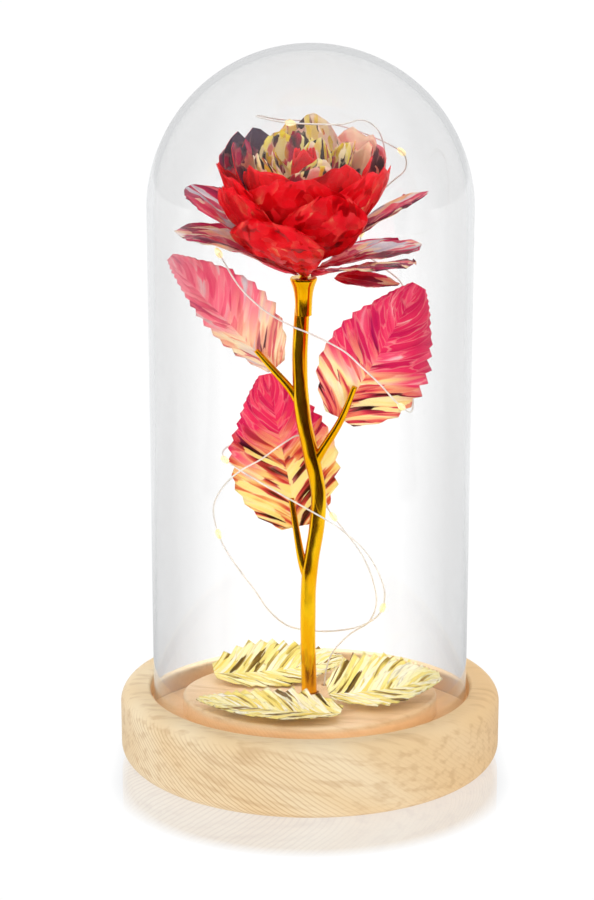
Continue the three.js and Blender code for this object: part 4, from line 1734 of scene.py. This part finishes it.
@dataclass
class FlowerHead:
    """The petals threaded on the calyx's pin, ring inside ring, about a rolled heart.

    Attributes:
        place: where the head stands.
        tilt: how far it leans, in degrees.
        rings: the rings of petals, from the lowest to the innermost.
        sepal: the pointed blade under the flower.
        heart_crease: how the rolled strip is creased.
        sepal_crease: how the blade is creased.
        heart_turns: how often the rolled strip goes round.
        heart_core: the roll's inner radius.
        heart_growth: how much larger its outer radius is.
        heart_foot: the height at which the roll begins.
        heart_height: its own height.
        heart_wave: how far its upper edge waves.
        first_seed: the first petal's seed.
    """

    place: tuple[float, float, float] = HEAD_PLACE
    tilt: float = HEAD_TILT
    rings: tuple[Ring, ...] = (
        Ring("open_petal",
             {"spread": ((2, 1.7), (14, 5.5), (24, 14), (38, 13.5)),
              "low": ((2, 1.7), (14, 3.4), (26, 8), (39, 7.5)),
              "folded": ((2, 1.7), (14, 5.5), (27, 11), (33, 25))},
             half=36, taper=0.8, facets=(10, 8), film=Film.LOBE, relief=0.65,
             petals=((185, 1, "spread"), (104, 0.92, "spread"), (22, 0.98, "low"),
                     (322, 0.96, "low"), (249, 0.95, "folded"))),
        Ring("spread_petal",
             {"spread": ((2, 4.6), (13, 9), (24, 19), (38, 26)),
              "folded": ((2, 4.6), (13, 9), (26, 15), (30, 35))},
             half=36, taper=0.8, facets=(10, 8), film=Film.LOBE, relief=0.65,
             petals=((166, 0.97, "spread"), (80, 0.92, "spread"), (358, 0.98, "spread"),
                     (222, 0.92, "folded"), (286, 0.9, "folded"))),
        Ring("outer_cup_petal", {"cup": ((2, 7.5), (12, 12.5), (25, 17), (26.5, 45))},
             half=50, taper=0.5, facets=(12, 10), film=Film.CORE,
             insides={1: Film.VIOLET, 5: Film.DUSK},
             petals=((126, 0.96, "cup"), (192, 0.86, "cup"), (264, 0.84, "cup"),
                     (334, 0.86, "cup"), (50, 0.95, "cup"))),
        Ring("inner_cup_petal", {"cup": ((2, 10.4), (10, 15), (19.5, 20), (21.5, 47))},
             half=50, taper=0.6, facets=(10, 10), film=Film.CORE,
             insides={1: Film.GOLD, 2: Film.VIOLET, 5: Film.DUSK},
             petals=((88, 0.98, "cup"), (160, 0.9, "cup"), (232, 0.84, "cup"),
                     (300, 0.84, "cup"), (16, 0.9, "cup"))),
        Ring("heart_petal", {"cup": ((2, 13.3), (8, 17.8), (14.3, 22), (15.3, 44))},
             half=60, taper=0.6, facets=(9, 8), film=Film.GOLD,
             petals=((110, 0.97, "cup"), (200, 0.9, "cup"), (290, 0.86, "cup"),
                     (20, 0.94, "cup"))),
        Ring("bud_petal", {"cup": ((2.3, 16.4), (5, 19.4), (9.2, 22.6), (9.2, 41))},
             half=76, taper=0.8, facets=(9, 8), film=Film.GOLD,
             petals=((60, 0.98, "cup"), (180, 0.93, "cup"), (300, 0.9, "cup"))),
    )
    sepal: LeafShape = LeafShape((7.5, -3.6, 147.3), (25, -13, 146), (0.05, -0.35, 1),
                                 fold=(8, 8), arch=-0.2, width=0.34)
    heart_crease: Crease = Crease(across=44, along=8, split=2, relief=0.12)
    sepal_crease: Crease = Crease(across=4, along=10, relief=0.2)
    heart_turns: float = 2.3
    heart_core: float = 1.3
    heart_growth: float = 2.9
    heart_foot: float = 19.4
    heart_height: float = 16.6
    heart_wave: float = 1.4
    first_seed: int = 101

    def tilted(self, surface: Surface) -> Surface:
        """Puts a surface in the head's own axes into the frame."""
        return lambda u, v: set_on_stem(surface(u, v), self.place, self.tilt)

    def rolled_heart(self, u: np.ndarray, v: np.ndarray) -> np.ndarray:
        """Rolls the innermost strip of film into a loose spiral.

        Args:
            u: the shares along the strip, from -1 to 1.
            v: the shares of its height, from 0 to 1.

        Returns:
            One row of X, Y and Z for each.
        """
        angle = self.heart_turns * math.pi * (u + 1)
        outer = self.heart_core + self.heart_growth * (u + 1) / 2
        # The roll is slimmer at its foot and at its mouth than between them
        radius = outer * (0.55 + 0.6 * np.sin(math.pi * (0.12 + 0.72 * v)))
        height = self.heart_foot + (self.heart_height + self.heart_wave * np.sin(3 * angle)) * v
        return np.stack([radius * np.cos(angle), radius * np.sin(angle), height], axis=1)

    def build(self, films: dict[Film, bpy.types.Material]) -> None:
        """Presses and threads the petals, from the lowest ring to the heart.

        Args:
            films: each film's finish.
        """
        seed = self.first_seed
        for ring in self.rings:
            crease = Crease(*ring.facets, relief=ring.relief, wander=0.32, tooth=0.03, notch=0.055)
            for number, (facing, reach, form) in enumerate(ring.petals, 1):
                name = f"{ring.name}_{number}"
                outside = Film.CORE if form == "folded" else ring.film
                inside = ring.insides.get(number, outside)
                sheet = FilmSheet(self.tilted(ring.surface(facing, reach, form)), crease, seed)
                petal = sheet.build(f"film_{name}", [films[outside], films[inside]])
                mount(petal, "petal_film", name)
                seed += 1
        heart = FilmSheet(self.tilted(self.rolled_heart), self.heart_crease, seed)
        mount(heart.build("film_heart", [films[Film.CORE]]), "petal_film", "bud")
        sepal = FilmSheet(self.sepal.surface, self.sepal_crease, seed + 1)
        mount(sepal.build("film_sepal", [films[Film.LOBE]]), "petal_film", "sepal")


@dataclass
class BatteryHatch:
    """The battery box in the base's pocket and its lid, which keep their CAD shapes.

    Attributes:
        nodes: their CAD nodes.
    """

    nodes: tuple[str, ...] = ("battery_box", "battery_lid")

    def build(self, plastic: bpy.types.Material) -> None:
        """Gives the moulded parts their plastic.

        Args:
            plastic: their finish.
        """
        for name in self.nodes:
            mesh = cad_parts[name].data
            mesh.materials.clear()
            mesh.materials.append(plastic)
            LOG.info("%s: keeps its shape", name)


def main() -> None:
    """Builds the rose, its dome and base, and the studio about them."""
    logging.basicConfig(level=logging.INFO, format="%(name)s %(message)s")
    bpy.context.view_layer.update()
    studio = Studio()
    studio.place_camera()
    LightString().build(WireFinish().build(), ResinFinish().build())
    TurnedBase().build(BeechFinish().build())
    GlassDome().build(GlassFinish().build())
    PlatedStem().build(GoldPlateFinish().build())
    films = {tone: tone.value.build() for tone in Film}
    FilmLeaves().build(films)
    FlowerHead().build(films)
    BatteryHatch().build(AbsFinish().build())
    studio.build()


if __name__ == "__main__":
    main()
